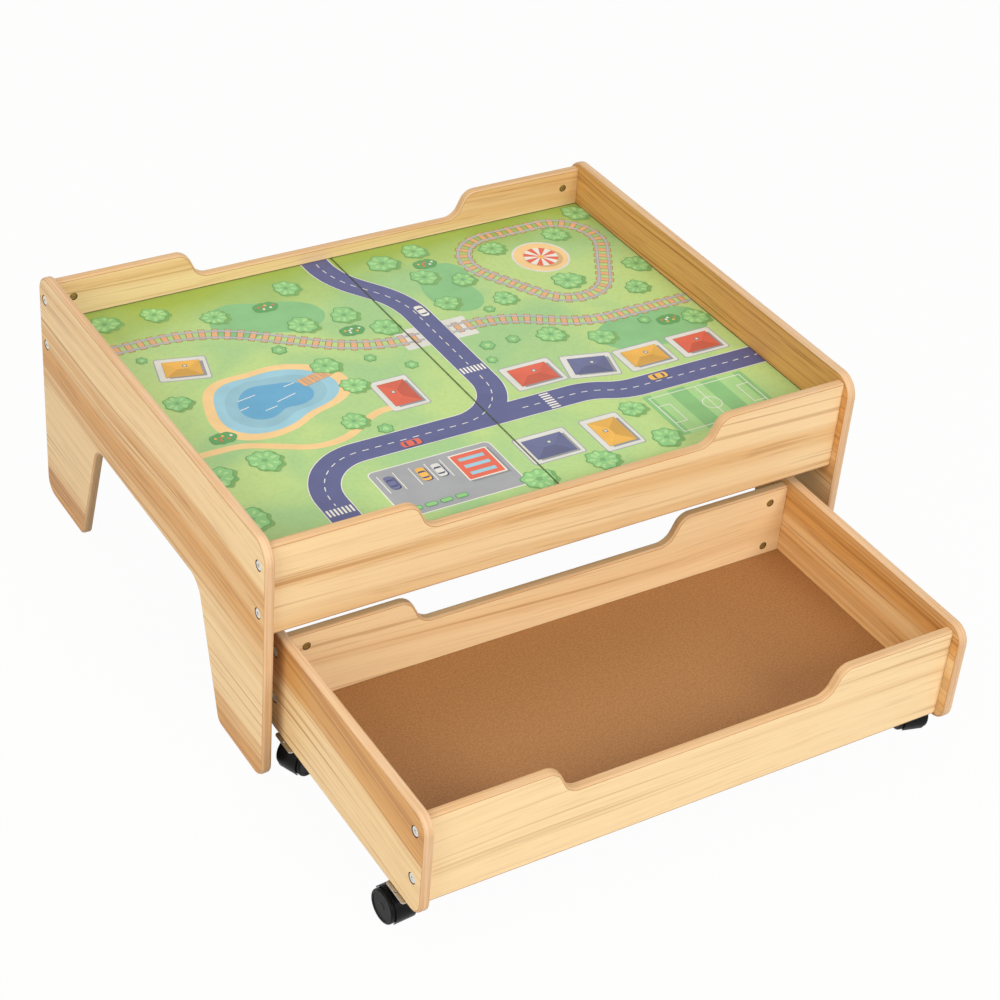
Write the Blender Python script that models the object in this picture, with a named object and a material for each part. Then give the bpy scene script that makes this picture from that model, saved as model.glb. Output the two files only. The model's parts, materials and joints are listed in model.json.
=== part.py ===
"""Children's train table: a play tray on panel legs, with a toy drawer on swivel casters below it.

Metres, +Z up, standing on z = 0, with the drawer rolled out towards -Y. The origin lies on the floor
under the middle of the whole box, drawer included.
"""
import math

import bmesh
import bpy
from mathutils import Matrix, Vector

# Boards shared by the table and the drawer
BOARD = 0.012
EDGE_ROUND = 0.0028
GROOVE_DEPTH = 0.005
CLEAR = 0.0003

# Table
TABLE_LENGTH = 0.800
TABLE_DEPTH = 0.642
TABLE_HEIGHT = 0.333
RAIL_HEIGHT = 0.1225
RAIL_BELOW_PANEL = 0.0085
RAIL_SETBACK = 0.012
TRAY_DEPTH = 0.054
PLAY_BOARD = 0.005
SEAM_GAP = 0.0008
BAR_WIDTH = 0.040
BAR_HEIGHT = 0.018

# Outline of the table's end panels
FOOT_WIDTH = 0.118
SHOULDER_WIDTH = 0.1735
NOTCH_BELOW_RAIL = 0.032
TOP_RADIUS = 0.028
NOTCH_RADIUS = 0.028
FOOT_RADIUS = 0.022
FOOT_INNER_RADIUS = 0.012

# Dips in the top edges of the rails
DIP_DEPTH = 0.036
DIP_RADIUS = 0.020
DIP_SLOPE = math.radians(64)
TABLE_DIP_INSET = 0.188
DRAWER_DIP_INSET = 0.1662

# Drawer
DRAWER_SIDE_GAP = 0.0282
DRAWER_SIDEWAYS = -0.013
DRAWER_PULL = 0.314
DRAWER_DEPTH = 0.3623
DRAWER_TOP_GAP = 0.0124
DRAWER_SETBACK = 0.0147
DRAWER_RAIL_BELOW_PANEL = 0.0080
DRAWER_RAIL_ABOVE_PANEL_FOOT = 0.0058
DRAWER_TOP_RADIUS = 0.022
DRAWER_FOOT_RADIUS = 0.021
FLOOR_BOARD = 0.0032
FLOOR_ABOVE_RAIL_FOOT = 0.0258
BATTEN_WIDTH = 0.018

# Bolts and barrel nuts
BOLT_HEAD_RADIUS = 0.0062
BOLT_HEAD_HEIGHT = 0.0026
BOLT_HEAD_SUNK = 0.0004
BOLT_CHAMFER = 0.0009
BOLT_RADIUS = 0.003
SOCKET_RADIUS = 0.0021
SOCKET_DEPTH = 0.0014
BOLT_PAST_NUT = 0.003
NUT_RADIUS = 0.005
NUT_LENGTH = 0.010
NUT_SUNK = 0.0005
NUT_FROM_PANEL = 0.0244
NUT_SLOT_WIDTH = 0.0012
NUT_SLOT_DEPTH = 0.001
BOLT_FROM_RAIL_TOP = 0.0257
BOLT_FROM_RAIL_FOOT = 0.0313
DRAWER_BOLT_FROM_RAIL_TOP = 0.0194
DRAWER_BOLT_FROM_RAIL_FOOT = 0.0386

# Casters
WHEEL_RADIUS = 0.0208
CASTER_WIDTH = 0.0362
CASTER_TRAIL = 0.0142
WHEEL_EDGE = 0.002
WHEEL_RIM = 0.0035
WHEEL_DISH = 0.0008
AXLE_RADIUS = 0.0022
WEB_WIDTH = 0.008
HUB_RADIUS = 0.006
HOOD_WALL = 0.0013
HOOD_GAP = 0.0006
HOOD_SIDE_SHOWING = 0.0052
HOOD_LOW = math.radians(-38)
HOOD_HIGH = math.radians(150)
HUB_RELIEF = math.radians(40)
COLLAR_RADIUS = 0.0072
COLLAR_ABOVE_HOOD = 0.0056
PLATE_WIDTH = 0.025
PLATE_LENGTH = 0.037
PLATE_THICKNESS = 0.002
PLATE_RADIUS = 0.003
PLATE_OVERHANG = 0.0036
PLATE_FROM_RAIL = 0.004
PIN_RADIUS = 0.0025
PIN_LENGTH = 0.016
SCREW_HOLE_RADIUS = 0.0017
SCREW_HOLE_INSET = 0.0025
SCREW_HOLE_END_INSET = 0.005
CASTER_HEADINGS = {
    ("front", "left"): math.radians(4.5),
    ("front", "right"): math.radians(-15),
    ("back", "left"): math.radians(-68),
    ("back", "right"): math.radians(35),
}

# How finely round forms are drawn
CORNER_STEPS = 5
EDGE_STEPS = 2
BOLT_STEPS = 8
NUT_STEPS = 12
WHEEL_STEPS = 20
HOOD_STEPS = 12
SMOOTH_ANGLE = math.radians(40)

# Places that follow from the sizes
INNER_X = TABLE_LENGTH / 2 - BOARD
RAIL_TOP = TABLE_HEIGHT - RAIL_BELOW_PANEL
RAIL_FOOT = RAIL_TOP - RAIL_HEIGHT
PLAY_TOP = RAIL_TOP - TRAY_DEPTH
PLAY_UNDERSIDE = PLAY_TOP - PLAY_BOARD
NOTCH_TOP = RAIL_FOOT - NOTCH_BELOW_RAIL
RAIL_INNER_Y = TABLE_DEPTH / 2 - RAIL_SETBACK - BOARD
TOTAL_DEPTH = TABLE_DEPTH + DRAWER_PULL
TABLE_Y = (TOTAL_DEPTH - TABLE_DEPTH) / 2
DRAWER_Y = (DRAWER_DEPTH - TOTAL_DEPTH) / 2

HOOD_INNER = WHEEL_RADIUS + HOOD_GAP
HOOD_OUTER = HOOD_INNER + HOOD_WALL
PLATE_UNDERSIDE = WHEEL_RADIUS + HOOD_OUTER + COLLAR_ABOVE_HOOD
CASTER_HEIGHT = PLATE_UNDERSIDE + PLATE_THICKNESS + CLEAR

DRAWER_LENGTH = 2 * (INNER_X - DRAWER_SIDE_GAP)
DRAWER_INNER_X = DRAWER_LENGTH / 2 - BOARD
DRAWER_TOP = RAIL_FOOT - DRAWER_TOP_GAP
DRAWER_RAIL_TOP = DRAWER_TOP - DRAWER_RAIL_BELOW_PANEL
DRAWER_RAIL_FOOT = CASTER_HEIGHT + DRAWER_RAIL_ABOVE_PANEL_FOOT
DRAWER_RAIL_INNER_Y = DRAWER_DEPTH / 2 - DRAWER_SETBACK - BOARD
FLOOR_TOP = DRAWER_RAIL_FOOT + FLOOR_ABOVE_RAIL_FOOT
FLOOR_UNDERSIDE = FLOOR_TOP - FLOOR_BOARD
CASTER_X = DRAWER_LENGTH / 2 + PLATE_OVERHANG - PLATE_WIDTH / 2
CASTER_Y = DRAWER_RAIL_INNER_Y - PLATE_FROM_RAIL - PLATE_LENGTH / 2

TABLE_BOLT_HEIGHTS = {"upper": RAIL_TOP - BOLT_FROM_RAIL_TOP, "lower": RAIL_FOOT + BOLT_FROM_RAIL_FOOT}
DRAWER_BOLT_HEIGHTS = {
    "upper": DRAWER_RAIL_TOP - DRAWER_BOLT_FROM_RAIL_TOP,
    "lower": DRAWER_RAIL_FOOT + DRAWER_BOLT_FROM_RAIL_FOOT,
}
BOLT_LENGTH = BOARD - BOLT_HEAD_SUNK + NUT_FROM_PANEL + NUT_RADIUS + BOLT_PAST_NUT
NUT_BORE_OFFSET = (NUT_LENGTH - BOARD) / 2 + NUT_SUNK

SIDES = {"left": -1, "right": 1}
ENDS = {"front": -1, "back": 1}


def clear_scene():
    for thing in list(bpy.data.objects):
        bpy.data.objects.remove(thing, do_unlink=True)


def make_material(name, colour, roughness, metallic=0.0):
    material = bpy.data.materials.new(name)
    material.use_nodes = True
    shader = material.node_tree.nodes["Principled BSDF"]
    shader.inputs["Base Color"].default_value = (*colour, 1.0)
    shader.inputs["Roughness"].default_value = roughness
    shader.inputs["Metallic"].default_value = metallic
    return material


def add_object(name, mesh):
    thing = bpy.data.objects.new(name, mesh)
    bpy.context.scene.collection.objects.link(thing)
    return thing


def add_place(name, location):
    """An empty that carries the pieces of one moving group."""
    place = add_object(name, None)
    place.location = location
    return place


def mesh_from(shape, name):
    """Turn a bmesh into a mesh with its faces pointing out."""
    bmesh.ops.recalc_face_normals(shape, faces=shape.faces)
    mesh = bpy.data.meshes.new(name)
    shape.to_mesh(mesh)
    shape.free()
    return mesh


def finish(thing, material, place, location=(0, 0, 0), rotation=(0, 0, 0)):
    """Give a piece its material and shading, and put it in its group."""
    thing.data.materials.clear()
    thing.data.materials.append(material)
    thing.data.shade_smooth()
    thing.data.set_sharp_from_angle(angle=SMOOTH_ANGLE)
    thing.parent = place
    thing.location = location
    thing.rotation_euler = rotation
    return thing


def carve(target, tools, operation="DIFFERENCE"):
    """Cut the tools out of a piece, or join them to it, and keep the result as its mesh."""
    for tool in tools:
        step = target.modifiers.new(tool.name, "BOOLEAN")
        step.operation = operation
        step.solver = "EXACT"
        step.object = tool
    graph = bpy.context.evaluated_depsgraph_get()
    result = bpy.data.meshes.new_from_object(target.evaluated_get(graph))
    target.modifiers.clear()
    target.data = result
    for tool in tools:
        bpy.data.objects.remove(tool, do_unlink=True)
    return target


def arc(centre, radius, start, end, steps):
    """Points (u, v) along an arc, both ends included."""
    points = []
    for i in range(steps + 1):
        angle = start + (end - start) * i / steps
        points.append(Vector((centre[0] + radius * math.cos(angle), centre[1] + radius * math.sin(angle))))
    return points


def rounded_outline(corners):
    """Points of a closed outline from corners (u, v, radius), each rounded by an arc of its radius."""
    points = []
    for i, (u, v, radius) in enumerate(corners):
        corner = Vector((u, v))
        if radius == 0:
            points.append(corner)
            continue
        before = (Vector(corners[i - 1][:2]) - corner).normalized()
        after = (Vector(corners[(i + 1) % len(corners)][:2]) - corner).normalized()
        half = before.angle(after) / 2
        centre = corner + (before + after).normalized() * radius / math.sin(half)
        first = corner + before * radius / math.tan(half) - centre
        last = corner + after * radius / math.tan(half) - centre
        start = math.atan2(first.y, first.x)
        turn = math.remainder(math.atan2(last.y, last.x) - start, math.tau)
        points.extend(arc(centre, radius, start, start + turn, CORNER_STEPS))
    return points


def extruded(outline, low, high, axis):
    """A solid from an outline, pushed along X (outline in Y, Z), Y (in X, Z) or Z (in X, Y)."""
    place = {
        "X": lambda u, v: (low, u, v),
        "Y": lambda u, v: (u, low, v),
        "Z": lambda u, v: (u, v, low),
    }[axis]
    push = {"X": (high - low, 0, 0), "Y": (0, high - low, 0), "Z": (0, 0, high - low)}[axis]
    shape = bmesh.new()
    base = shape.faces.new([shape.verts.new(place(u, v)) for u, v in outline])
    moved = bmesh.ops.extrude_face_region(shape, geom=[base])["geom"]
    bmesh.ops.translate(shape, vec=push, verts=[v for v in moved if isinstance(v, bmesh.types.BMVert)])
    bmesh.ops.recalc_face_normals(shape, faces=shape.faces)
    return shape


def round_edges(shape, axis, square_x=None):
    """Round the rims of an extruded board over, apart from the ends that butt at x = +-square_x."""
    index = "XYZ".index(axis)
    rims = []
    for edge in shape.edges:
        a, b = (v.co for v in edge.verts)
        along_board = abs(a[index] - b[index]) < CLEAR
        at_end = square_x and all(abs(abs(p.x) - square_x) < CLEAR for p in (a, b))
        if along_board and not at_end:
            rims.append(edge)
    bmesh.ops.bevel(shape, geom=rims, offset=EDGE_ROUND, segments=EDGE_STEPS, profile=0.5, affect="EDGES")


def box(name, low, high):
    shape = bmesh.new()
    bmesh.ops.create_cube(shape, size=1.0)
    size = Vector(high) - Vector(low)
    bmesh.ops.scale(shape, vec=size, verts=shape.verts)
    bmesh.ops.translate(shape, vec=Vector(low) + size / 2, verts=shape.verts)
    return add_object(name, mesh_from(shape, name))


def turned(name, profile, steps, turn=None):
    """A solid of revolution about Z from points (radius, height), then turned by a matrix."""
    shape = bmesh.new()
    points = [shape.verts.new((radius, 0, height)) for radius, height in profile]
    line = [shape.edges.new(pair) for pair in zip(points, points[1:])]
    bmesh.ops.spin(shape, geom=points + line, cent=(0, 0, 0), axis=(0, 0, 1), angle=math.tau,
                   steps=steps, use_merge=True)
    bmesh.ops.remove_doubles(shape, verts=shape.verts, dist=CLEAR / 100)
    if turn:
        bmesh.ops.transform(shape, matrix=turn, verts=shape.verts)
    return add_object(name, mesh_from(shape, name))


def rod(name, radius, low, high, steps, turn=None):
    return turned(name, [(0, low), (radius, low), (radius, high), (0, high)], steps, turn)


def turn_to(direction):
    """The rotation that takes a turned piece's Z axis to a direction."""
    return Vector(direction).to_track_quat("Z", "Y")


def facing(direction, point):
    """The matrix that takes a turned piece's Z axis to a direction, and its origin to a point."""
    return Matrix.Translation(point) @ turn_to(direction).to_matrix().to_4x4()


def panel_bolt_holes(outer_x, side, bolt_ys, heights):
    """Cutters for the bolts' stepped holes through one end panel."""
    rim = BOLT_HEAD_RADIUS + CLEAR
    hole = BOLT_RADIUS + CLEAR
    floor = BOLT_HEAD_SUNK + BOLT_HEAD_HEIGHT + CLEAR
    past = BOARD / 2
    profile = [(0, -past), (rim, -past), (rim, floor), (hole, floor), (hole, BOARD + past), (0, BOARD + past)]
    cutters = []
    for y in bolt_ys:
        for z in heights.values():
            cutters.append(turned("bolt_hole", profile, BOLT_STEPS, facing((-side, 0, 0), (outer_x, y, z))))
    return cutters


def rail_fastener_holes(end_x, inner_y, toward_inside, heights):
    """Cutters for the bolt bores in a rail's ends and the nut holes in its inner face."""
    centre_y = inner_y - toward_inside * BOARD / 2
    depth = NUT_FROM_PANEL + NUT_RADIUS + BOLT_PAST_NUT + CLEAR
    nut_depth = NUT_SUNK + NUT_LENGTH + CLEAR
    cutters = []
    for side in SIDES.values():
        for z in heights.values():
            bore = facing((-side, 0, 0), (side * end_x, centre_y, z))
            cutters.append(rod("bolt_bore", BOLT_RADIUS + CLEAR, -BOARD, depth, BOLT_STEPS, bore))
            nut_x = side * (end_x - NUT_FROM_PANEL)
            hole = facing((0, -toward_inside, 0), (nut_x, inner_y, z))
            cutters.append(rod("nut_hole", NUT_RADIUS + CLEAR, -BOARD, nut_depth, NUT_STEPS, hole))
    return cutters


def rail_outline(half_length, foot, top, dip_inset):
    """A rail's long face in X, Z, with the dip in its top edge."""
    lean = DIP_DEPTH / math.tan(DIP_SLOPE) / 2
    dip_x = half_length - dip_inset
    low = top - DIP_DEPTH
    return rounded_outline([
        (-half_length, foot, 0),
        (half_length, foot, 0),
        (half_length, top, 0),
        (dip_x + lean, top, DIP_RADIUS),
        (dip_x - lean, low, DIP_RADIUS),
        (lean - dip_x, low, DIP_RADIUS),
        (-dip_x - lean, top, DIP_RADIUS),
        (-half_length, top, 0),
    ])


def make_rail(name, end_x, inner_y, toward_inside, foot, top, dip_inset, groove, heights):
    """A rail between two end panels, grooved for the board that it holds. groove is (low, high, half x)."""
    half = end_x - CLEAR
    outer_y = inner_y - toward_inside * BOARD
    shape = extruded(rail_outline(half, foot, top, dip_inset), min(inner_y, outer_y), max(inner_y, outer_y), "Y")
    round_edges(shape, "Y", square_x=half)
    rail = add_object(name, mesh_from(shape, name))
    return carve(rail, [groove_cutter(inner_y, toward_inside, *groove)]
                 + rail_fastener_holes(end_x, inner_y, toward_inside, heights))


def groove_cutter(inner_y, toward_inside, low, high, half_x):
    """A slot cut into a rail's inner face."""
    ys = sorted((inner_y + toward_inside * BOARD, inner_y - toward_inside * (GROOVE_DEPTH + CLEAR)))
    return box("groove", (-half_x, ys[0], low - CLEAR), (half_x, ys[1], high + CLEAR))


def make_end_panel(name, outline, inner_x, side, groove, bolt_ys, heights):
    """An end panel with its bolt holes and the groove for a board. groove is (low, high, half y)."""
    outer_x = side * (inner_x + BOARD)
    shape = extruded(outline, min(side * inner_x, outer_x), max(side * inner_x, outer_x), "X")
    round_edges(shape, "X")
    panel = add_object(name, mesh_from(shape, name))
    low, high, half_y = groove
    xs = sorted((side * (inner_x - BOARD), side * (inner_x + GROOVE_DEPTH + CLEAR)))
    slot = box("groove", (xs[0], -half_y, low - CLEAR), (xs[1], half_y, high + CLEAR))
    return carve(panel, [slot] + panel_bolt_holes(outer_x, side, bolt_ys, heights))


def table_panel_outline():
    """The legs' outline in Y, Z: two splayed feet below one deep panel."""
    half = TABLE_DEPTH / 2
    foot = half - FOOT_WIDTH
    shoulder = half - SHOULDER_WIDTH
    return rounded_outline([
        (-half, 0, FOOT_RADIUS),
        (-foot, 0, FOOT_INNER_RADIUS),
        (-shoulder, NOTCH_TOP, NOTCH_RADIUS),
        (shoulder, NOTCH_TOP, NOTCH_RADIUS),
        (foot, 0, FOOT_INNER_RADIUS),
        (half, 0, FOOT_RADIUS),
        (half, TABLE_HEIGHT, TOP_RADIUS),
        (-half, TABLE_HEIGHT, TOP_RADIUS),
    ])


def drawer_panel_outline():
    half = DRAWER_DEPTH / 2
    return rounded_outline([
        (-half, CASTER_HEIGHT, DRAWER_FOOT_RADIUS),
        (half, CASTER_HEIGHT, DRAWER_FOOT_RADIUS),
        (half, DRAWER_TOP, DRAWER_TOP_RADIUS),
        (-half, DRAWER_TOP, DRAWER_TOP_RADIUS),
    ])


def make_frame(prefix, place, material, inner_x, inner_y, outline, foot, top, dip_inset, board, heights):
    """Two end panels and two rails round a grooved-in board. board is (underside, top)."""
    bolt_y = inner_y + BOARD / 2
    groove_y = inner_y + GROOVE_DEPTH + CLEAR
    for label, side in SIDES.items():
        panel = make_end_panel(f"{prefix}_end_panel_{label}", outline, inner_x, side, (*board, groove_y),
                               (-bolt_y, bolt_y), heights)
        finish(panel, material, place)
    for label, end in ENDS.items():
        rail = make_rail(f"{prefix}_rail_{label}", inner_x, end * inner_y, -end, foot, top, dip_inset,
                         (*board, inner_x + BOARD), heights)
        finish(rail, material, place)


def make_bolt_mesh():
    """A round-headed bolt along +Z, its head's face at z = 0, with a driver's socket."""
    bolt = turned("bolt", [
        (0, SOCKET_DEPTH),
        (SOCKET_RADIUS, SOCKET_DEPTH),
        (SOCKET_RADIUS, 0),
        (BOLT_HEAD_RADIUS - BOLT_CHAMFER, 0),
        (BOLT_HEAD_RADIUS, BOLT_CHAMFER),
        (BOLT_HEAD_RADIUS, BOLT_HEAD_HEIGHT),
        (BOLT_RADIUS, BOLT_HEAD_HEIGHT),
        (BOLT_RADIUS, BOLT_LENGTH - BOLT_CHAMFER),
        (BOLT_RADIUS - BOLT_CHAMFER, BOLT_LENGTH),
        (0, BOLT_LENGTH),
    ], BOLT_STEPS)
    mesh = bolt.data
    bpy.data.objects.remove(bolt, do_unlink=True)
    return mesh


def make_nut_mesh():
    """A barrel nut along Z, its slotted end at z = 0, with the bolt's cross bore."""
    nut = rod("nut", NUT_RADIUS, -NUT_LENGTH, 0, NUT_STEPS)
    bore_z = NUT_BORE_OFFSET - NUT_LENGTH / 2
    past = 2 * NUT_RADIUS
    bore = rod("bore", BOLT_RADIUS + CLEAR, -past, past, BOLT_STEPS, facing((1, 0, 0), (0, 0, bore_z)))
    slot = box("slot", (-past, -NUT_SLOT_WIDTH / 2, -NUT_SLOT_DEPTH), (past, NUT_SLOT_WIDTH / 2, NUT_LENGTH))
    mesh = carve(nut, [bore, slot]).data
    bpy.data.objects.remove(nut, do_unlink=True)
    return mesh


def make_fasteners(prefix, place, bolt_mesh, nut_mesh, steel, brass, inner_x, inner_y, heights):
    """A bolt and its barrel nut at every joint of a rail with an end panel."""
    for side_label, side in SIDES.items():
        for end_label, end in ENDS.items():
            for level, z in heights.items():
                spot = f"{end_label}_{side_label}_{level}"
                bolt = add_object(f"{prefix}_bolt_{spot}", bolt_mesh)
                head_x = side * (inner_x + BOARD - BOLT_HEAD_SUNK)
                finish(bolt, steel, place, (head_x, end * (inner_y + BOARD / 2), z),
                       turn_to((-side, 0, 0)).to_euler())
                nut = add_object(f"{prefix}_nut_{spot}", nut_mesh)
                nut_x = side * (inner_x - NUT_FROM_PANEL)
                finish(nut, brass, place, (nut_x, end * (inner_y + NUT_SUNK), z), (end * math.pi / 2, 0, 0))


def make_play_boards(place, material):
    """The printed tray floor in two halves that meet over the middle bar."""
    edge_x = INNER_X + GROOVE_DEPTH
    edge_y = RAIL_INNER_Y + GROOVE_DEPTH
    for label, side in SIDES.items():
        xs = sorted((side * SEAM_GAP / 2, side * edge_x))
        board = box(f"play_board_{label}", (xs[0], -edge_y, PLAY_UNDERSIDE), (xs[1], edge_y, PLAY_TOP))
        finish(board, material, place)


def make_middle_bar(place, material):
    """The bar under the boards' seam, its ends let into the two rails."""
    reach = RAIL_INNER_Y + GROOVE_DEPTH
    top = PLAY_UNDERSIDE - CLEAR
    for label in ENDS:
        pocket = box("bar_pocket", (-BAR_WIDTH / 2 - CLEAR, -reach - CLEAR, top - BAR_HEIGHT - CLEAR),
                     (BAR_WIDTH / 2 + CLEAR, reach + CLEAR, PLAY_UNDERSIDE))
        pocket.parent = place
        carve(bpy.data.objects[f"table_rail_{label}"], [pocket])
    bar = box("middle_bar", (-BAR_WIDTH / 2, -reach, top - BAR_HEIGHT), (BAR_WIDTH / 2, reach, top))
    finish(bar, material, place)


def make_drawer_floor(place, material):
    edge_x = DRAWER_INNER_X + GROOVE_DEPTH
    edge_y = DRAWER_RAIL_INNER_Y + GROOVE_DEPTH
    floor = box("drawer_floor", (-edge_x, -edge_y, FLOOR_UNDERSIDE), (edge_x, edge_y, FLOOR_TOP))
    finish(floor, material, place)


def make_battens(place, material):
    """The strips under the drawer's floor, beside the end panels, that back the caster plates."""
    reach = DRAWER_RAIL_INNER_Y - CLEAR
    outer = DRAWER_INNER_X - CLEAR
    for label, side in SIDES.items():
        xs = sorted((side * outer, side * (outer - BATTEN_WIDTH)))
        batten = box(f"drawer_batten_{label}", (xs[0], -reach, CASTER_HEIGHT),
                     (xs[1], reach, FLOOR_UNDERSIDE - CLEAR))
        finish(batten, material, place)


def make_plate_mesh():
    """A caster's top plate with its swivel pin, the pin on Z and the plate's top at CASTER_HEIGHT - CLEAR."""
    half_x = PLATE_WIDTH / 2
    half_y = PLATE_LENGTH / 2
    top = PLATE_UNDERSIDE + PLATE_THICKNESS
    corners = [(-half_x, -half_y, PLATE_RADIUS), (half_x, -half_y, PLATE_RADIUS),
               (half_x, half_y, PLATE_RADIUS), (-half_x, half_y, PLATE_RADIUS)]
    shape = extruded(rounded_outline(corners), PLATE_UNDERSIDE, top, "Z")
    plate = add_object("plate", mesh_from(shape, "plate"))
    carve(plate, [rod("pin", PIN_RADIUS, PLATE_UNDERSIDE - PIN_LENGTH, top - PLATE_THICKNESS / 2, NUT_STEPS)],
          "UNION")
    hole_x = half_x - SCREW_HOLE_INSET
    hole_y = half_y - SCREW_HOLE_END_INSET
    holes = [rod("screw_hole", SCREW_HOLE_RADIUS, -PLATE_LENGTH, PLATE_LENGTH, BOLT_STEPS,
                 Matrix.Translation((x, y, top)))
             for x, y in ((-hole_x, 0), (hole_x, 0), (0, -hole_y), (0, hole_y))]
    mesh = carve(plate, holes).data
    bpy.data.objects.remove(plate, do_unlink=True)
    return mesh


def hood_side(radius_of, steps):
    """Points in Y, Z round the axle, leading side at angle 0 towards -Y, from radius_of(angle)."""
    points = []
    for angle in steps:
        radius = radius_of(angle)
        points.append((CASTER_TRAIL - radius * math.cos(angle), WHEEL_RADIUS + radius * math.sin(angle)))
    return points


def spaced(start, end, steps):
    return [start + (end - start) * i / steps for i in range(steps + 1)]


def make_hood_mesh():
    """A caster's hood with the web between its wheels and the collar that turns on the plate's pin."""
    half = CASTER_WIDTH / 2 - HOOD_SIDE_SHOWING
    middle = (HOOD_INNER + HOOD_OUTER) / 2
    over = spaced(HOOD_LOW, HOOD_HIGH, HOOD_STEPS)
    under = spaced(HOOD_HIGH + HUB_RELIEF, HOOD_LOW + math.tau - HUB_RELIEF, HOOD_STEPS // 2)
    shell = hood_side(lambda a: HOOD_OUTER, over) + hood_side(lambda a: HOOD_INNER, over[::-1])
    hood = add_object("hood", mesh_from(extruded(shell, -half, half, "X"), "hood"))
    web_side = hood_side(lambda a: middle, over) + hood_side(lambda a: HUB_RADIUS, under)
    web = add_object("web", mesh_from(extruded(web_side, -WEB_WIDTH / 2, WEB_WIDTH / 2, "X"), "web"))
    axle = Matrix.Translation((0, CASTER_TRAIL, WHEEL_RADIUS)) @ Matrix.Rotation(math.pi / 2, 4, "Y")
    collar = rod("collar", COLLAR_RADIUS, WHEEL_RADIUS, PLATE_UNDERSIDE - CLEAR, NUT_STEPS)
    carve(collar, [rod("wheel_space", middle, -CASTER_WIDTH, CASTER_WIDTH, 2 * HOOD_STEPS, axle)])
    carve(hood, [web, collar], "UNION")
    pin_bore = rod("pin_bore", PIN_RADIUS + CLEAR, PLATE_UNDERSIDE - PIN_LENGTH - CLEAR,
                   PLATE_UNDERSIDE + PLATE_LENGTH, NUT_STEPS)
    axle_bore = rod("axle_bore", AXLE_RADIUS + CLEAR, -CASTER_WIDTH, CASTER_WIDTH, NUT_STEPS, axle)
    mesh = carve(hood, [pin_bore, axle_bore]).data
    bpy.data.objects.remove(hood, do_unlink=True)
    return mesh


def make_wheel_mesh():
    """A caster's two wheels on their axle, turned about X with the axle through the origin."""
    outer = CASTER_WIDTH / 2
    inner = WEB_WIDTH / 2 + CLEAR
    chamfer = WHEEL_EDGE / 2
    half = [
        (0, outer - WHEEL_DISH),
        (WHEEL_RADIUS - WHEEL_RIM - WHEEL_DISH, outer - WHEEL_DISH),
        (WHEEL_RADIUS - WHEEL_RIM, outer),
        (WHEEL_RADIUS - WHEEL_EDGE, outer),
        (WHEEL_RADIUS - WHEEL_EDGE * (1 - math.sqrt(0.5)), outer - WHEEL_EDGE * (1 - math.sqrt(0.5))),
        (WHEEL_RADIUS, outer - WHEEL_EDGE),
        (WHEEL_RADIUS, inner + chamfer),
        (WHEEL_RADIUS - chamfer, inner),
        (AXLE_RADIUS, inner),
    ]
    profile = half + [(radius, -along) for radius, along in reversed(half)]
    wheels = turned("wheels", profile, WHEEL_STEPS, Matrix.Rotation(math.pi / 2, 4, "Y"))
    mesh = wheels.data
    bpy.data.objects.remove(wheels, do_unlink=True)
    return mesh


def make_casters(drawer, steel, black):
    """Four plate casters, each standing at the heading that it was left at."""
    plate_mesh = make_plate_mesh()
    hood_mesh = make_hood_mesh()
    wheel_mesh = make_wheel_mesh()
    for (end_label, side_label), heading in CASTER_HEADINGS.items():
        spot = f"{end_label}_{side_label}"
        swivel = add_place(f"swivel_{spot}", (SIDES[side_label] * CASTER_X, ENDS[end_label] * CASTER_Y, 0))
        swivel.parent = drawer
        finish(add_object(f"caster_plate_{spot}", plate_mesh), steel, swivel)
        hood = finish(add_object(f"caster_hood_{spot}", hood_mesh), black, swivel, rotation=(0, 0, heading))
        finish(add_object(f"caster_wheels_{spot}", wheel_mesh), black, hood, (0, CASTER_TRAIL, WHEEL_RADIUS))


def main():
    clear_scene()
    foil = make_material("wood_grain_foil", (0.78, 0.55, 0.28), 0.42)
    print_face = make_material("printed_play_board", (0.42, 0.60, 0.22), 0.30)
    hardboard = make_material("brown_hardboard", (0.42, 0.27, 0.15), 0.60)
    raw_wood = make_material("plain_batten", (0.70, 0.52, 0.32), 0.65)
    steel = make_material("bright_steel", (0.62, 0.62, 0.60), 0.28, 1.0)
    brass = make_material("dark_brass", (0.42, 0.32, 0.16), 0.40, 1.0)
    black = make_material("black_plastic", (0.02, 0.02, 0.022), 0.45)

    table = add_place("table_place", (0, TABLE_Y, 0))
    drawer = add_place("drawer_place", (DRAWER_SIDEWAYS, DRAWER_Y, 0))
    make_frame("table", table, foil, INNER_X, RAIL_INNER_Y, table_panel_outline(), RAIL_FOOT, RAIL_TOP,
               TABLE_DIP_INSET, (PLAY_UNDERSIDE, PLAY_TOP), TABLE_BOLT_HEIGHTS)
    make_play_boards(table, print_face)
    make_middle_bar(table, raw_wood)
    make_frame("drawer", drawer, foil, DRAWER_INNER_X, DRAWER_RAIL_INNER_Y, drawer_panel_outline(),
               DRAWER_RAIL_FOOT, DRAWER_RAIL_TOP, DRAWER_DIP_INSET, (FLOOR_UNDERSIDE, FLOOR_TOP),
               DRAWER_BOLT_HEIGHTS)
    make_drawer_floor(drawer, hardboard)
    make_battens(drawer, raw_wood)

    bolt_mesh = make_bolt_mesh()
    nut_mesh = make_nut_mesh()
    make_fasteners("table", table, bolt_mesh, nut_mesh, steel, brass, INNER_X, RAIL_INNER_Y, TABLE_BOLT_HEIGHTS)
    make_fasteners("drawer", drawer, bolt_mesh, nut_mesh, steel, brass, DRAWER_INNER_X, DRAWER_RAIL_INNER_Y,
                   DRAWER_BOLT_HEIGHTS)
    make_casters(drawer, steel, black)


main()
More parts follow.
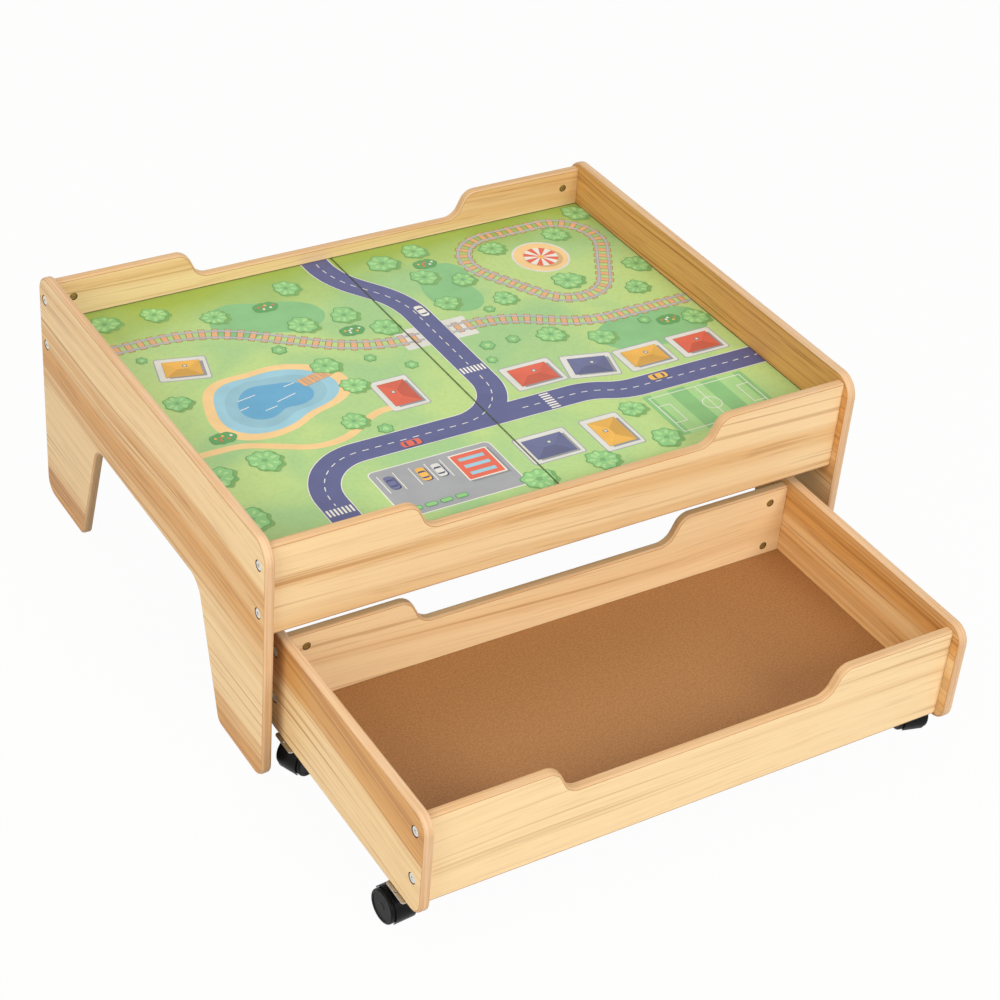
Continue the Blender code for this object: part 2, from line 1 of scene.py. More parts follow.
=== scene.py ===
"""Looks of a children's train table: foil-faced boards, bolts, casters and a printed play map.

Run as a script it dresses the whole table. The panel in the 3D view's sidebar lists the same steps.
"""
import json
import math
import random

import bmesh
import bpy
from bpy.props import FloatProperty, FloatVectorProperty, IntProperty, PointerProperty
from mathutils import Matrix, Vector


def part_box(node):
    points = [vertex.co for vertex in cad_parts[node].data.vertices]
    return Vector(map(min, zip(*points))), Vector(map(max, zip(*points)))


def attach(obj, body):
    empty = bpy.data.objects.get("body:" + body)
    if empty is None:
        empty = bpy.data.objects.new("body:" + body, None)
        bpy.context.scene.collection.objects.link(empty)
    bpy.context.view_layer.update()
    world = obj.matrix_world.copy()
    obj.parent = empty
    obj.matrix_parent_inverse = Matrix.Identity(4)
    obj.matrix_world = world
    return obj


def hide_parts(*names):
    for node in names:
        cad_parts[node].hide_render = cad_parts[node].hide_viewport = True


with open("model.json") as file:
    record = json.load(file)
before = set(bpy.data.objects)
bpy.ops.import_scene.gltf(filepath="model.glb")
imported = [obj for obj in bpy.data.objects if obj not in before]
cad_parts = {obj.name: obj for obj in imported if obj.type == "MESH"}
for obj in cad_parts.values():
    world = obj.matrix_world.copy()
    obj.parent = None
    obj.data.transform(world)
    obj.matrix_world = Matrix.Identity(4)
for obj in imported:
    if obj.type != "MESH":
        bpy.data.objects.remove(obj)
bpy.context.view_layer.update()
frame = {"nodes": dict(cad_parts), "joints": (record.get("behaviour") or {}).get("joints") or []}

bl_info = {
    "name": "Train table looks",
    "version": (1, 0, 0),
    "blender": (4, 5, 0),
    "location": "View3D > Sidebar > Train Table",
    "description": "Dresses a children's train table: foil-faced boards, bolts, casters and a play map",
    "category": "Object",
}

NODES = frame["nodes"]
JOINTS = {joint["name"]: joint for joint in frame["joints"]}
SIDES = ("left", "right")
ENDS = ("front", "back")
SPOTS = [f"{end}_{side}" for end in ENDS for side in SIDES]
LEVELS = ("upper", "lower")
AXES = {"X": 0, "Y": 1}

# The two units, each with the first and the last board of its floor
FLOORS = {"table": ("play_board_left", "play_board_right"), "drawer": ("drawer_floor", "drawer_floor")}

# The tray's floor between the inner faces of its walls
TRAY_LOW = Vector((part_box("table_end_panel_left")[1].x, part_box("table_rail_front")[1].y, 0))
TRAY_HIGH = Vector((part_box("table_end_panel_right")[0].x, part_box("table_rail_back")[0].y, 0))
TRAY_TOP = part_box("play_board_left")[1].z
SEAM = (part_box("play_board_left")[1].x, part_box("play_board_right")[0].x)

# Material slots of a board's mesh
FOIL, EDGE, EDGE_LINE, CUT_BOARD = range(4)

# Edges sharper than this stay creased
SHARP_ANGLE = math.radians(35)
# Lengths below this count as nothing
MERGE = 1e-6
# Sides of a bolt's socket
HEXAGON = 6
# Width of the camera's sensor in millimetres
SENSOR_WIDTH = 36
# Satin varnish over the print
PRINT_ROUGHNESS, PRINT_GLOSS = 0.40, 0.3


def number(name, description, default, **kind):
    return FloatProperty(name=name, description=description, default=default, **kind)


def length(name, description, default):
    return number(name, description, default, precision=4, unit="LENGTH")


def angle(name, description, degrees):
    return number(name, description, math.radians(degrees), subtype="ANGLE")


def watts(name, description, default):
    return number(name, description, default, unit="POWER")


def count(name, description, default):
    return IntProperty(name=name, description=description, default=default, min=1)


def point(name, description, x, y, z):
    return FloatVectorProperty(name=name, description=description, default=(x, y, z), subtype="XYZ",
                               unit="LENGTH")


def colour(name, description, red, green, blue):
    """A colour property from the red, green and blue of a screen colour, 0 to 255."""
    linear = [((c / 255 + 0.055) / 1.055) ** 2.4 if c > 10 else c / 255 / 12.92 for c in (red, green, blue)]
    return FloatVectorProperty(name=name, description=description, default=linear, size=3, min=0, max=1,
                               subtype="COLOR")


class BoardSettings(bpy.types.PropertyGroup):
    """Sizes and colours of the panels and rails."""
    edge_round: length("Edge rounding", "Radius of the boards' rounded rims", 0.0028)
    edge_steps: count("Edge steps", "Faces round each rim", 6)
    corner_steps: count("Corner steps", "Faces round each corner of a board's outline", 12)
    foot_width: length("Foot width", "Width of each foot on the floor", 0.118)
    shoulder_width: length("Shoulder width", "Width of each foot where the notch ends", 0.1735)
    notch_height: length("Notch height", "Height of the notch between the feet", 0.170)
    top_radius: length("Top corner", "Radius of the table panels' top corners", 0.028)
    notch_radius: length("Notch corner", "Radius of the notch's corners", 0.028)
    foot_radius: length("Foot corner", "Radius of the feet's outer corners", 0.022)
    foot_inner_radius: length("Inner foot corner", "Radius of the feet's inner corners", 0.012)
    dip_depth: length("Dip depth", "Depth of the dips in the rails", 0.036)
    dip_radius: length("Dip corner", "Radius of the dips' corners", 0.020)
    dip_slope: angle("Dip slope", "Steepness of the dips' ends", 64)
    table_dip_inset: length("Table dip inset", "From a table rail's end to the middle of a slope", 0.188)
    drawer_dip_inset: length("Drawer dip inset", "From a drawer rail's end to the middle of a slope", 0.1662)
    drawer_top_radius: length("Drawer top corner", "Radius of the drawer panels' top corners", 0.022)
    drawer_foot_radius: length("Drawer foot corner", "Radius of the drawer panels' lower corners", 0.021)
    panel_grain_shift: number("Panel grain", "Picks the stretch of foil on the end panels", 64.6)
    panel_grain_depth: number("Panel grain depth", "Strength of the dark grain on the end panels", 1.08)
    panel_band_start: number("Panel bands", "A lower start makes the end panels' bands broader", 0.43)
    rail_grain_shift: number("Rail grain", "Picks the stretch of foil on the rails", 37.4)
    rail_grain_depth: number("Rail grain depth", "Strength of the dark grain on the rails", 0.66)
    rail_band_start: number("Rail bands", "A lower start makes the rails' bands broader", 0.46)
    pale: colour("Pale foil", "Lightest tone of the wood-grain foil", 248, 222, 178)
    band: colour("Foil bands", "Broad darker bands of the foil", 224, 173, 108)
    grain: colour("Grain lines", "Fine dark lines of the foil", 170, 112, 58)
    # One stain for all rims: on the panels made paler and pinker by a painted reflection of the white
    # surround
    paint: colour("Panel edge stain", "Stained round edges of the end panels", 228, 197, 164)
    # On the rails the same stain made darker and richer, partly by painted shade
    rail_paint: colour("Rail edge stain", "Stained round edges of the rails", 222, 188, 148)
    scorch: colour("Edge line", "Fine line where the foil ends", 196, 146, 98)
    raw: colour("Cut board", "Bare fibreboard in holes and grooves", 120, 84, 50)
    hardboard: colour("Hardboard", "The drawer's floor", 172, 122, 74)
    softwood: colour("Softwood", "Battens and bar", 222, 182, 128)


class FastenerSettings(bpy.types.PropertyGroup):
    """Sizes and colours of the bolts and barrel nuts."""
    gap: length("Gap", "Clearance round a nut in its hole and a board in its groove", 0.0003)
    head_gap: length("Head gap", "Clearance round a bolt head in its hole", 0.0008)
    head_radius: length("Head radius", "Radius of the bolt heads", 0.0062)
    head_height: length("Head height", "Height of the bolt heads", 0.0026)
    head_edge: length("Head edge", "Rounding of the bolt heads", 0.0009)
    shank_radius: length("Shank radius", "Radius of the bolts", 0.003)
    socket_radius: length("Socket radius", "Radius of the hexagon socket, over its corners", 0.0024)
    socket_depth: length("Socket depth", "Depth of the hexagon socket", 0.0014)
    slot_width: length("Slot width", "Width of the nuts' driver slot", 0.0016)
    slot_depth: length("Slot depth", "Depth of the nuts' driver slot", 0.0010)
    nut_edge: length("Nut edge", "Chamfer of the nuts' ends", 0.0009)
    steps: count("Steps", "Faces round a bolt or nut", 40)
    steel: colour("Bolt steel", "Bright plated steel", 226, 226, 222)
    brass: colour("Nut brass", "Dull brass plating", 170, 142, 80)


class CasterSettings(bpy.types.PropertyGroup):
    """Sizes and colours of the casters."""
    width: length("Width", "Over both wheels", 0.0362)
    tread_round: length("Tread rounding", "Rounding of the wheels' treads", 0.0020)
    rim: length("Rim", "Width of the band round each disc", 0.0035)
    dish: length("Dish", "Depth of the disc inside the rim", 0.0008)
    cap_radius: length("Cap radius", "Radius of the cap over the axle", 0.0046)
    axle_radius: length("Axle radius", "Radius of the axle", 0.0022)
    web_width: length("Web width", "Thickness of the web between the wheels", 0.008)
    hub_radius: length("Hub radius", "Inner radius of the web", 0.006)
    hood_wall: length("Hood wall", "Thickness of the hood", 0.0013)
    hood_gap: length("Hood gap", "Clearance between wheel and hood", 0.0006)
    hood_edge: length("Hood edge", "Rounding of the hood's rims", 0.0004)
    side_showing: length("Side showing", "Width of tread outside the hood on each side", 0.0052)
    hood_low: angle("Hood's lower end", "Angle of the hood's leading edge below the axle", -38)
    hood_high: angle("Hood's upper end", "Angle of the hood's trailing edge", 150)
    hood_steps: count("Hood steps", "Faces along the hood", 40)
    hood_edge_steps: count("Hood edge steps", "Faces round the hood's rims", 3)
    collar_radius: length("Collar radius", "Radius of the collar round the pin", 0.0072)
    clearance: length("Clearance", "Running gap at pin, axle and plate", 0.0003)
    plate_width: length("Plate width", "Across the drawer's panel", 0.025)
    plate_length: length("Plate length", "Along the drawer's panel", 0.037)
    plate_thickness: length("Plate thickness", "Thickness of the steel", 0.002)
    plate_radius: length("Plate corner", "Radius of the plate's corners", 0.003)
    plate_corner_steps: count("Plate corner steps", "Faces round each corner of the plate", 6)
    plate_edge: length("Plate edge", "Rounding of the plate's rims", 0.0003)
    plate_edge_steps: count("Plate edge steps", "Faces round the plate's rims", 2)
    pin_radius: length("Pin radius", "Radius of the swivel pin", 0.0025)
    pin_length: length("Pin length", "Length of the swivel pin under the plate", 0.016)
    hole_radius: length("Screw hole", "Radius of the plate's holes", 0.0017)
    hole_inset: length("Side hole inset", "From a long side to its hole", 0.0025)
    hole_end_inset: length("End hole inset", "From a short side to its hole", 0.005)
    screw_radius: length("Screw head", "Radius of the plate's screw heads", 0.0027)
    screw_height: length("Screw head height", "Height of the plate's screw heads", 0.0016)
    screw_steps: count("Screw steps", "Faces round a screw head or a screw hole", 24)
    steps: count("Steps", "Faces round a wheel", 64)
    black: colour("Nylon", "Black moulded nylon", 20, 20, 22)
    plate: colour("Plate", "Grey pressed steel", 196, 190, 176)


class MapSettings(bpy.types.PropertyGroup):
    """Sizes and colours of the printed play map."""
    ink: length("Ink step", "Height of one printed layer above the last", 0.00003)
    road_width: length("Road width", "Over the white edge lines", 0.040)
    road_line: length("Road line", "Width of the white lines", 0.0012)
    dash: length("Dash", "Length of a dash, and of the gap after it", 0.0085)
    gauge: length("Gauge", "Between the middles of the rails", 0.0150)
    rail: length("Rail", "Width of a rail", 0.0034)
    sleeper_length: length("Sleeper length", "Across the track", 0.0245)
    sleeper_width: length("Sleeper width", "Along the track", 0.0088)
    sleeper_step: length("Sleeper spacing", "From sleeper to sleeper", 0.0160)
    outline: length("Outline", "Width of the darker outlines", 0.0008)
    # The seam's dark line is the boards' dark edges with painted shade of the gap; the line at the foot of
    # the walls is painted shade
    joint_width: length("Joint width", "Width of each board's dark edge at the seam", 0.0006)
    foot_width: length("Foot width", "Width of the dark line at the foot of the walls", 0.0009)
    joint: colour("Joint", "Dark edges of the two boards", 64, 66, 46)
    grass: colour("Grass", "Main green", 190, 219, 144)
    meadow: colour("Meadow", "Cooler green patches", 164, 206, 146)
    field: colour("Fields", "Deeper green fields", 140, 198, 140)
    # Painted reflection of the back rail in the glossy print: yellow-green laid over the grass towards the
    # back wall
    olive_wall_reflection: colour("Olive", "Green towards the back wall", 152, 178, 66)
    road: colour("Road", "Road surface", 94, 99, 148)
    white: colour("White", "Lines and pale walls", 240, 240, 236)
    rail_grey: colour("Rails", "Rails of the track", 188, 190, 198)
    sleeper: colour("Sleepers", "Sleepers of the track", 232, 180, 134)
    sleeper_edge: colour("Sleeper outline", "Outline of the sleepers", 138, 106, 76)
    sand: colour("Sand", "Shores and paths", 249, 213, 156)
    water: colour("Water", "Pond", 158, 208, 230)
    deep: colour("Deep water", "Middle of the pond", 104, 172, 216)
    paving: colour("Paving", "Yards", 166, 170, 178)
    slab: colour("Slabs", "Pale paving", 226, 228, 226)
    crown: colour("Crowns", "Trees", 146, 206, 138)
    crown_light: colour("Crown lights", "Light side of the trees", 174, 222, 152)
    crown_dark: colour("Crown outlines", "Dark outline of trees and hedges", 98, 164, 100)
    shade: colour("Shade", "Printed shadows", 132, 178, 106)
    roof_red: colour("Red roof", "Clay roofs", 230, 110, 88)
    roof_blue: colour("Slate roof", "Slate roofs", 110, 116, 160)
    roof_gold: colour("Gold roof", "Thatched roofs", 244, 190, 92)


class StageSettings(bpy.types.PropertyGroup):
    """Camera, lamps and floor."""
    camera_place: point("Camera place", "Where the camera stands", -1.29609, -1.94073, 1.82662)
    camera_turn: FloatVectorProperty(name="Camera turn", description="How the camera is turned",
                                     default=(0.951355, -0.071731, -0.538239), subtype="EULER")
    lens: number("Lens", "Focal length in millimetres on a 36 mm sensor", 84.01, unit="CAMERA")
    key: watts("Key lamp", "Watts of the large lamp at the front", 149)
    key_place: point("Key lamp place", "Middle of the key lamp", 0.8, -4.5, 3.0)
    key_size: length("Key lamp size", "Width of the key lamp", 2.2)
    fill: watts("Fill lamp", "Watts of the lamp at the left", 35)
    fill_place: point("Fill lamp place", "Middle of the fill lamp", -2.4, -0.9, 1.5)
    fill_size: length("Fill lamp size", "Width of the fill lamp", 1.8)
    top: watts("Top lamp", "Watts of the lamp overhead", 18)
    top_place: point("Top lamp place", "Middle of the top lamp", -0.2, 0.5, 2.8)
    top_size: length("Top lamp size", "Width of the top lamp", 2.2)
    lamp_aim: point("Lamp aim", "Where the lamps point", 0, 0, 0.2)
    ambient: number("Ambient", "Strength of the light from all round", 0.42)
    backdrop: number("Backdrop", "Share of the floor's own white", 0.97, min=0, max=1, subtype="FACTOR")
    floor_size: length("Floor size", "Width of the floor", 60)
    floor: colour("Floor", "Floor under the lamps", 202, 200, 195)
    white_light: colour("White light", "Light of the key and top lamps", 255, 255, 255)
    warm_light: colour("Warm light", "Light of the fill lamp and from all round", 255, 245, 225)


class TrainTableSettings(bpy.types.PropertyGroup):
    """All settings of the train table."""
    boards: PointerProperty(type=BoardSettings)
    fasteners: PointerProperty(type=FastenerSettings)
    casters: PointerProperty(type=CasterSettings)
    play_map: PointerProperty(type=MapSettings)
    stage: PointerProperty(type=StageSettings)


def add_node(tree, kind, values=None, **settings):
    """Add a node. Values go to its inputs by name or number, as a constant or as a link."""
    made = tree.nodes.new(kind)
    for name, value in settings.items():
        setattr(made, name, value)
    for name, value in (values or {}).items():
        if isinstance(value, bpy.types.NodeSocket):
            tree.links.new(value, made.inputs[name])
        else:
            made.inputs[name].default_value = value
    return made


class Look:
    """A material under construction, with the few kinds of node that the finishes use."""

    def __init__(self, name, roughness, metallic=0.0, gloss=0.5):
        self.material = bpy.data.materials.new(name)
        self.material.use_nodes = True
        self.tree = self.material.node_tree
        self.shader = self.tree.nodes["Principled BSDF"]
        self.shader.inputs["Roughness"].default_value = roughness
        self.shader.inputs["Metallic"].default_value = metallic
        self.shader.inputs["Specular IOR Level"].default_value = gloss
        self.place = self.node("ShaderNodeTexCoord").outputs["Object"]

    def node(self, kind, values=None, **settings):
        return add_node(self.tree, kind, values, **settings)

    def shift_up(self, height):
        """Let all that follows read its place shifted along Z by a socket's value."""
        lift = self.node("ShaderNodeCombineXYZ", {"Z": height}).outputs["Vector"]
        shifted = self.node("ShaderNodeVectorMath", {0: self.place, 1: lift}, operation="ADD")
        self.place = shifted.outputs["Vector"]

    def noise(self, scale, detail=2.0, distortion=0.0, shift=0.0):
        """A noise with so many features per metre, given as one number or as one for each axis.

        A shift picks another stretch of it.
        """
        scale = (scale,) * 3 if isinstance(scale, (int, float)) else scale
        mapped = {"Vector": self.place, "Scale": scale, "Location": (shift,) * 3}
        place = self.node("ShaderNodeMapping", mapped).outputs["Vector"]
        values = {"Vector": place, "Scale": 1.0, "Detail": detail, "Distortion": distortion}
        return self.node("ShaderNodeTexNoise", values).outputs["Fac"]

    def ramp(self, factor, low, high, bottom=0.0, top=1.0):
        """A straight ramp from bottom at low to top at high, clamped."""
        values = {"Value": factor, "From Min": low, "From Max": high, "To Min": bottom, "To Max": top}
        return self.node("ShaderNodeMapRange", values).outputs["Result"]

    def math(self, operation, a, b):
        return self.node("ShaderNodeMath", {0: a, 1: b}, operation=operation).outputs["Value"]

    def mix(self, factor, a, b):
        """A mix of two colours, each a socket or red, green and blue."""
        def rgba(value):
            return value if isinstance(value, bpy.types.NodeSocket) else (*value, 1.0)
        made = self.node("ShaderNodeMix", {0: factor, 6: rgba(a), 7: rgba(b)}, data_type="RGBA")
        return made.outputs[2]

    def colour(self, socket):
        self.tree.links.new(socket, self.shader.inputs["Base Color"])

    def roughness(self, socket):
        self.tree.links.new(socket, self.shader.inputs["Roughness"])

    def bump(self, height, distance):
        made = self.node("ShaderNodeBump", {"Height": height, "Distance": distance, "Strength": 1.0})
        self.tree.links.new(made.outputs["Normal"], self.shader.inputs["Normal"])


def table_settings():
    return bpy.context.scene.train_table


def look_once(name, make):
    """The material of that name, made on its first use."""
    return bpy.data.materials.get(name) or make(name)


def wood_look(name, grain_axis, pale, band, grain, roughness, depth, band_start, shift):
    """Wood grain along X or Y that wanders a little: broad bands, streaks, dark lines, pores and fibres.

    Depth is the strength of the dark parts, a lower band start makes the bands broader, and shift picks
    another stretch of the grain.
    """
    look = Look(name, roughness, gloss=0.18)
    wander, band_blend, crowding, relief = 0.016, 0.15, 5, 0.00003

    def stretched(along, across, detail, shift=0.0):
        """A noise of so many features per metre along the grain and up the board, crowded through it."""
        scale = [across * crowding, across * crowding, across]
        scale[AXES[grain_axis]] = along
        return look.noise(scale, detail, shift=shift)

    def by_band(outside, inside):
        """A strength that rises from its value outside the broad bands to that inside them."""
        return look.ramp(bands, 0.0, 1.0, outside, inside)

    look.shift_up(look.ramp(stretched(1.5, 2.5, detail=1), 0.2, 0.8, -wander, wander))
    bands = look.ramp(stretched(0.25, 15, detail=2, shift=shift), band_start, band_start + band_blend)
    streaks = look.ramp(stretched(0.5, 105, detail=3), 0.46, 0.66)
    lines = look.ramp(stretched(0.9, 230, detail=1), 0.59, 0.67)
    patches = look.ramp(stretched(3.0, 22, detail=1), 0.44, 0.60, 0.10 * depth, 0.60 * depth)
    pores = look.ramp(stretched(9, 260, detail=2), 0.58, 0.68, 0.0, 0.58 * depth)
    fibres = stretched(18, 900, detail=2)
    tone = look.mix(by_band(0.0, min(depth, 1.0)), pale, band)
    tone = look.mix(look.math("MULTIPLY", streaks, by_band(0.10 * depth, 0.48 * depth)), tone, grain)
    lined = look.math("ADD", patches, by_band(0.0, 0.25 * depth))
    tone = look.mix(look.math("MULTIPLY", lines, lined), tone, grain)
    tone = look.mix(look.math("MULTIPLY", pores, by_band(0.4, 1.0)), tone, grain)
    tone = look.mix(look.ramp(fibres, 0.35, 0.75, 0.0, 0.20), tone, band)
    look.colour(tone)
    look.roughness(look.ramp(fibres, 0.3, 0.7, roughness - 0.05, roughness + 0.07))
    look.bump(fibres, relief)
    return look.material


def foil_look(grain_axis):
    """The wood-grain foil, deeper on the end panels, whose grain runs along Y, than on the rails."""
    boards = table_settings().boards
    board = "panel" if grain_axis == "Y" else "rail"
    return look_once(f"wood_grain_foil_{grain_axis.lower()}", lambda name: wood_look(
        name, grain_axis, boards.pale, boards.band, boards.grain, roughness=0.38,
        depth=getattr(boards, f"{board}_grain_depth"), band_start=getattr(boards, f"{board}_band_start"),
        shift=getattr(boards, f"{board}_grain_shift")))


def softwood_look():
    boards = table_settings().boards
    return look_once("planed_softwood", lambda name: wood_look(
        name, "Y", boards.softwood, boards.band, boards.grain, roughness=0.62, depth=0.8, band_start=0.46,
        shift=0.0))


def mottled_look(name, tone, depth, scale, roughness, metallic=0.0, relief=0.0, gloss=0.5):
    """One tone that wanders darker by a share of depth in patches, so many per metre, with a fine relief."""
    look = Look(name, roughness, metallic, gloss)
    patches = look.noise(scale, detail=4)
    dark = [part * (1 - depth) for part in tone]
    look.colour(look.mix(look.ramp(patches, 0.35, 0.7), tone, dark))
    look.roughness(look.ramp(patches, 0.3, 0.7, roughness - 0.04, roughness + 0.06))
    if relief:
        look.bump(look.noise(9 * scale, detail=2), relief)
    return look.material


def rim_look(thickness_axis):
    """Stained rims of a board, with faint stripes that follow the rim. The panels' stain carries a painted
    reflection of the white surround, the rails' stain partly painted shade.
    """
    boards = table_settings().boards
    # Each board's stain with its painted light: reflection on the panels, partly shade on the rails
    paint = boards.paint if thickness_axis == "X" else boards.rail_paint
    along_rim, through_board = 5, 520

    def make(name):
        look = Look(name, roughness=0.40, gloss=0.15)
        scale = [along_rim] * 3
        scale[AXES[thickness_axis]] = through_board
        stripes = look.noise(scale, detail=2)
        clouds = look.noise(16, detail=3)
        tone = look.mix(look.ramp(clouds, 0.38, 0.66, 0.0, 0.25), paint, boards.band)
        look.colour(look.mix(look.ramp(stripes, 0.44, 0.66, 0.0, 0.48), tone, boards.scorch))
        look.roughness(look.ramp(stripes, 0.3, 0.7, 0.36, 0.46))
        return look.material

    return look_once(f"rim_stain_{thickness_axis.lower()}", make)


# Plain finishes: the settings group and name of each one's colour, and how it is mottled
FINISHES = {
    "edge_scorch": ("boards", "scorch", dict(depth=0.25, scale=90, roughness=0.46)),
    "cut_board": ("boards", "raw", dict(depth=0.45, scale=900, roughness=0.80, relief=0.0001)),
    "brown_hardboard": ("boards", "hardboard", dict(depth=0.30, scale=420, roughness=0.55, relief=0.00005)),
    "plated_steel": ("fasteners", "steel", dict(depth=0.16, scale=600, roughness=0.26, metallic=1.0)),
    "dull_brass": ("fasteners", "brass", dict(depth=0.35, scale=500, roughness=0.50, metallic=0.5)),
    "black_nylon": ("casters", "black", dict(depth=0.35, scale=260, roughness=0.36, relief=0.00004,
                                             gloss=0.11)),
    "pressed_steel": ("casters", "plate", dict(depth=0.22, scale=420, roughness=0.40, metallic=1.0,
                                               relief=0.00002)),
}


def finish(name):
    """One of the plain finishes."""
    group, tone, mottle = FINISHES[name]
    return look_once(name, lambda name: mottled_look(
        name, getattr(getattr(table_settings(), group), tone), **mottle))


def ink_look(key, tone):
    """A printed colour, named for its place in the map's settings and darkened to a tone."""
    ink = [part * tone for part in getattr(table_settings().play_map, key)]
    return look_once(f"print_{key}_{tone:.2f}", lambda name: mottled_look(
        name, ink, depth=0.09, scale=34, roughness=PRINT_ROUGHNESS, gloss=PRINT_GLOSS))


def grass_look(name):
    """The printed ground: two greens that drift into each other, and towards the back wall a yellow-green
    painted reflection of the back rail.
    """
    inks = table_settings().play_map
    olive_start, olive_full, ragged_by = TRAY_HIGH.y - 0.10, TRAY_HIGH.y - 0.01, 0.035
    look = Look(name, PRINT_ROUGHNESS, gloss=PRINT_GLOSS)
    drift = look.ramp(look.noise(6.5, detail=2, distortion=0.5), 0.40, 0.62)
    tone = look.mix(drift, inks.grass, inks.meadow)
    back = look.node("ShaderNodeSeparateXYZ", {"Vector": look.place}).outputs["Y"]
    ragged = look.math("ADD", back, look.ramp(look.noise(9, detail=3), 0.2, 0.8, -ragged_by, ragged_by))
    # Painted reflection of the back rail: the yellow-green grows towards the back wall, with a ragged edge
    tone = look.mix(look.ramp(ragged, olive_start, olive_full, 0.0, 0.85), tone, inks.olive_wall_reflection)
    blades = look.noise(220, detail=2)
    look.colour(look.mix(look.ramp(blades, 0.4, 0.75, 0.0, 0.16), tone, inks.shade))
    look.roughness(look.ramp(blades, 0.3, 0.7, 0.37, 0.44))
    return look.material


def board_looks(grain_axis, thickness_axis):
    """The looks of a board's four material slots."""
    return [foil_look(grain_axis), rim_look(thickness_axis), finish("edge_scorch"), finish("cut_board")]


def make_piece(shape, name, looks):
    """Turn a bmesh into a piece at the origin."""
    mesh = bpy.data.meshes.new(name)
    shape.to_mesh(mesh)
    shape.free()
    for look in looks:
        mesh.materials.append(look)
    piece = bpy.data.objects.new(name, mesh)
    bpy.context.scene.collection.objects.link(piece)
    return piece


def settle(piece):
    """Keep what the piece's modifiers make as its mesh."""
    graph = bpy.context.evaluated_depsgraph_get()
    piece.data = bpy.data.meshes.new_from_object(piece.evaluated_get(graph))
    piece.modifiers.clear()


def carve(piece, tools, operation="DIFFERENCE"):
    """Cut the tools out of a piece, or join them to it."""
    for tool in tools:
        step = piece.modifiers.new(tool.name, "BOOLEAN")
        step.operation = operation
        step.object = tool
    settle(piece)
    for tool in tools:
        bpy.data.objects.remove(tool, do_unlink=True)
    return piece


def shade(piece):
    """Smooth the round faces and keep the flat ones flat."""
    piece.data.shade_smooth()
    piece.data.set_sharp_from_angle(angle=SHARP_ANGLE)
    step = piece.modifiers.new("flat_faces", "WEIGHTED_NORMAL")
    step.keep_sharp = True
    settle(piece)
    return piece


def seat(piece, body, slot, *nodes):
    """Let a piece ride on a body and stand for CAD nodes, which it hides. The slot is not used."""
    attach(piece, body)
    if nodes:
        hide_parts(*nodes)


def side_of(spot):
    """The way out of the table at a spot's side: -1 at the left, 1 at the right."""
    return -1 if "left" in spot else 1


def fastener_spots():
    """The unit, spot and level of each bolt, and of the nut on it."""
    return [(unit, spot, level) for unit in FLOORS for spot in SPOTS for level in LEVELS]


def moved_verts(geometry):
    return [part for part in geometry if isinstance(part, bmesh.types.BMVert)]


def all_parts(shape):
    return [*shape.verts, *shape.edges, *shape.faces]


def turn_to(direction):
    """The rotation that takes +Z to a direction."""
    return Vector(direction).to_track_quat("Z", "Y").to_matrix().to_4x4()


def round_points(shape, points, offset, steps):
    """Round flat faces at these points."""
    bmesh.ops.bevel(shape, geom=points, offset=offset, offset_type="OFFSET", segments=steps, profile=0.5,
                    affect="VERTICES", material=-1)


def round_edges(shape, edges, offset, steps):
    bmesh.ops.bevel(shape, geom=edges, offset=offset, segments=steps, profile=0.5, affect="EDGES",
                    material=-1)


def round_corners(shape, corners, points, steps):
    """Round the points of a flat face by the radius in each corner (u, v, radius)."""
    for i, (u, v, radius) in enumerate(corners):
        if radius:
            here = Vector((u, v))
            before = Vector(corners[i - 1][:2]) - here
            after = Vector(corners[(i + 1) % len(corners)][:2]) - here
            round_points(shape, [points[i]], radius / math.tan(before.angle(after) / 2), steps)


def thicken(shape, push):
    """Push flat faces out into solids."""
    pushed = bmesh.ops.extrude_face_region(shape, geom=list(shape.faces))["geom"]
    bmesh.ops.translate(shape, vec=push, verts=moved_verts(pushed))
    bmesh.ops.recalc_face_normals(shape, faces=shape.faces)


def board_shape(corners, axis, low, high, round_ends=True):
    """A board from an outline of corners (u, v, radius), pushed along X or Y, with its rims rounded."""
    boards = table_settings().boards
    way = AXES[axis]
    place = {"X": lambda u, v: (low, u, v), "Y": lambda u, v: (u, low, v)}[axis]
    shape = bmesh.new()
    points = [shape.verts.new(place(u, v)) for u, v, radius in corners]
    shape.faces.new(points)
    round_corners(shape, corners, points, boards.corner_steps)
    push = Vector()
    push[way] = high - low
    thicken(shape, push)
    ends = (min(u for u, v, radius in corners), max(u for u, v, radius in corners))

    def is_rim(edge):
        a, b = (vert.co for vert in edge.verts)
        butted = not round_ends and any(abs(a.x - end) < MERGE and abs(b.x - end) < MERGE for end in ends)
        return abs(a[way] - b[way]) < MERGE and not butted

    round_edges(shape, [edge for edge in shape.edges if is_rim(edge)], boards.edge_round, boards.edge_steps)
    first_strip = math.cos(math.radians(90) / boards.edge_steps)
    for face in shape.faces:
        flatness = abs(face.normal[way])
        face.material_index = FOIL if flatness > 1 - MERGE else EDGE_LINE if flatness > first_strip else EDGE
    return shape


def rod_shape(radius, start, end, steps):
    """A cylinder between two points."""
    start, end = Vector(start), Vector(end)
    shape = bmesh.new()
    bmesh.ops.create_cone(shape, cap_ends=True, segments=steps, radius1=radius, radius2=radius,
                          depth=(end - start).length,
                          matrix=Matrix.Translation((start + end) / 2) @ turn_to(end - start))
    return shape


def block_shape(low, high):
    shape = bmesh.new()
    size = Vector(high) - Vector(low)
    bmesh.ops.create_cube(shape, size=1.0, matrix=Matrix.Translation((Vector(high) + Vector(low)) / 2)
                          @ Matrix.Diagonal((*size, 1.0)))
    return shape


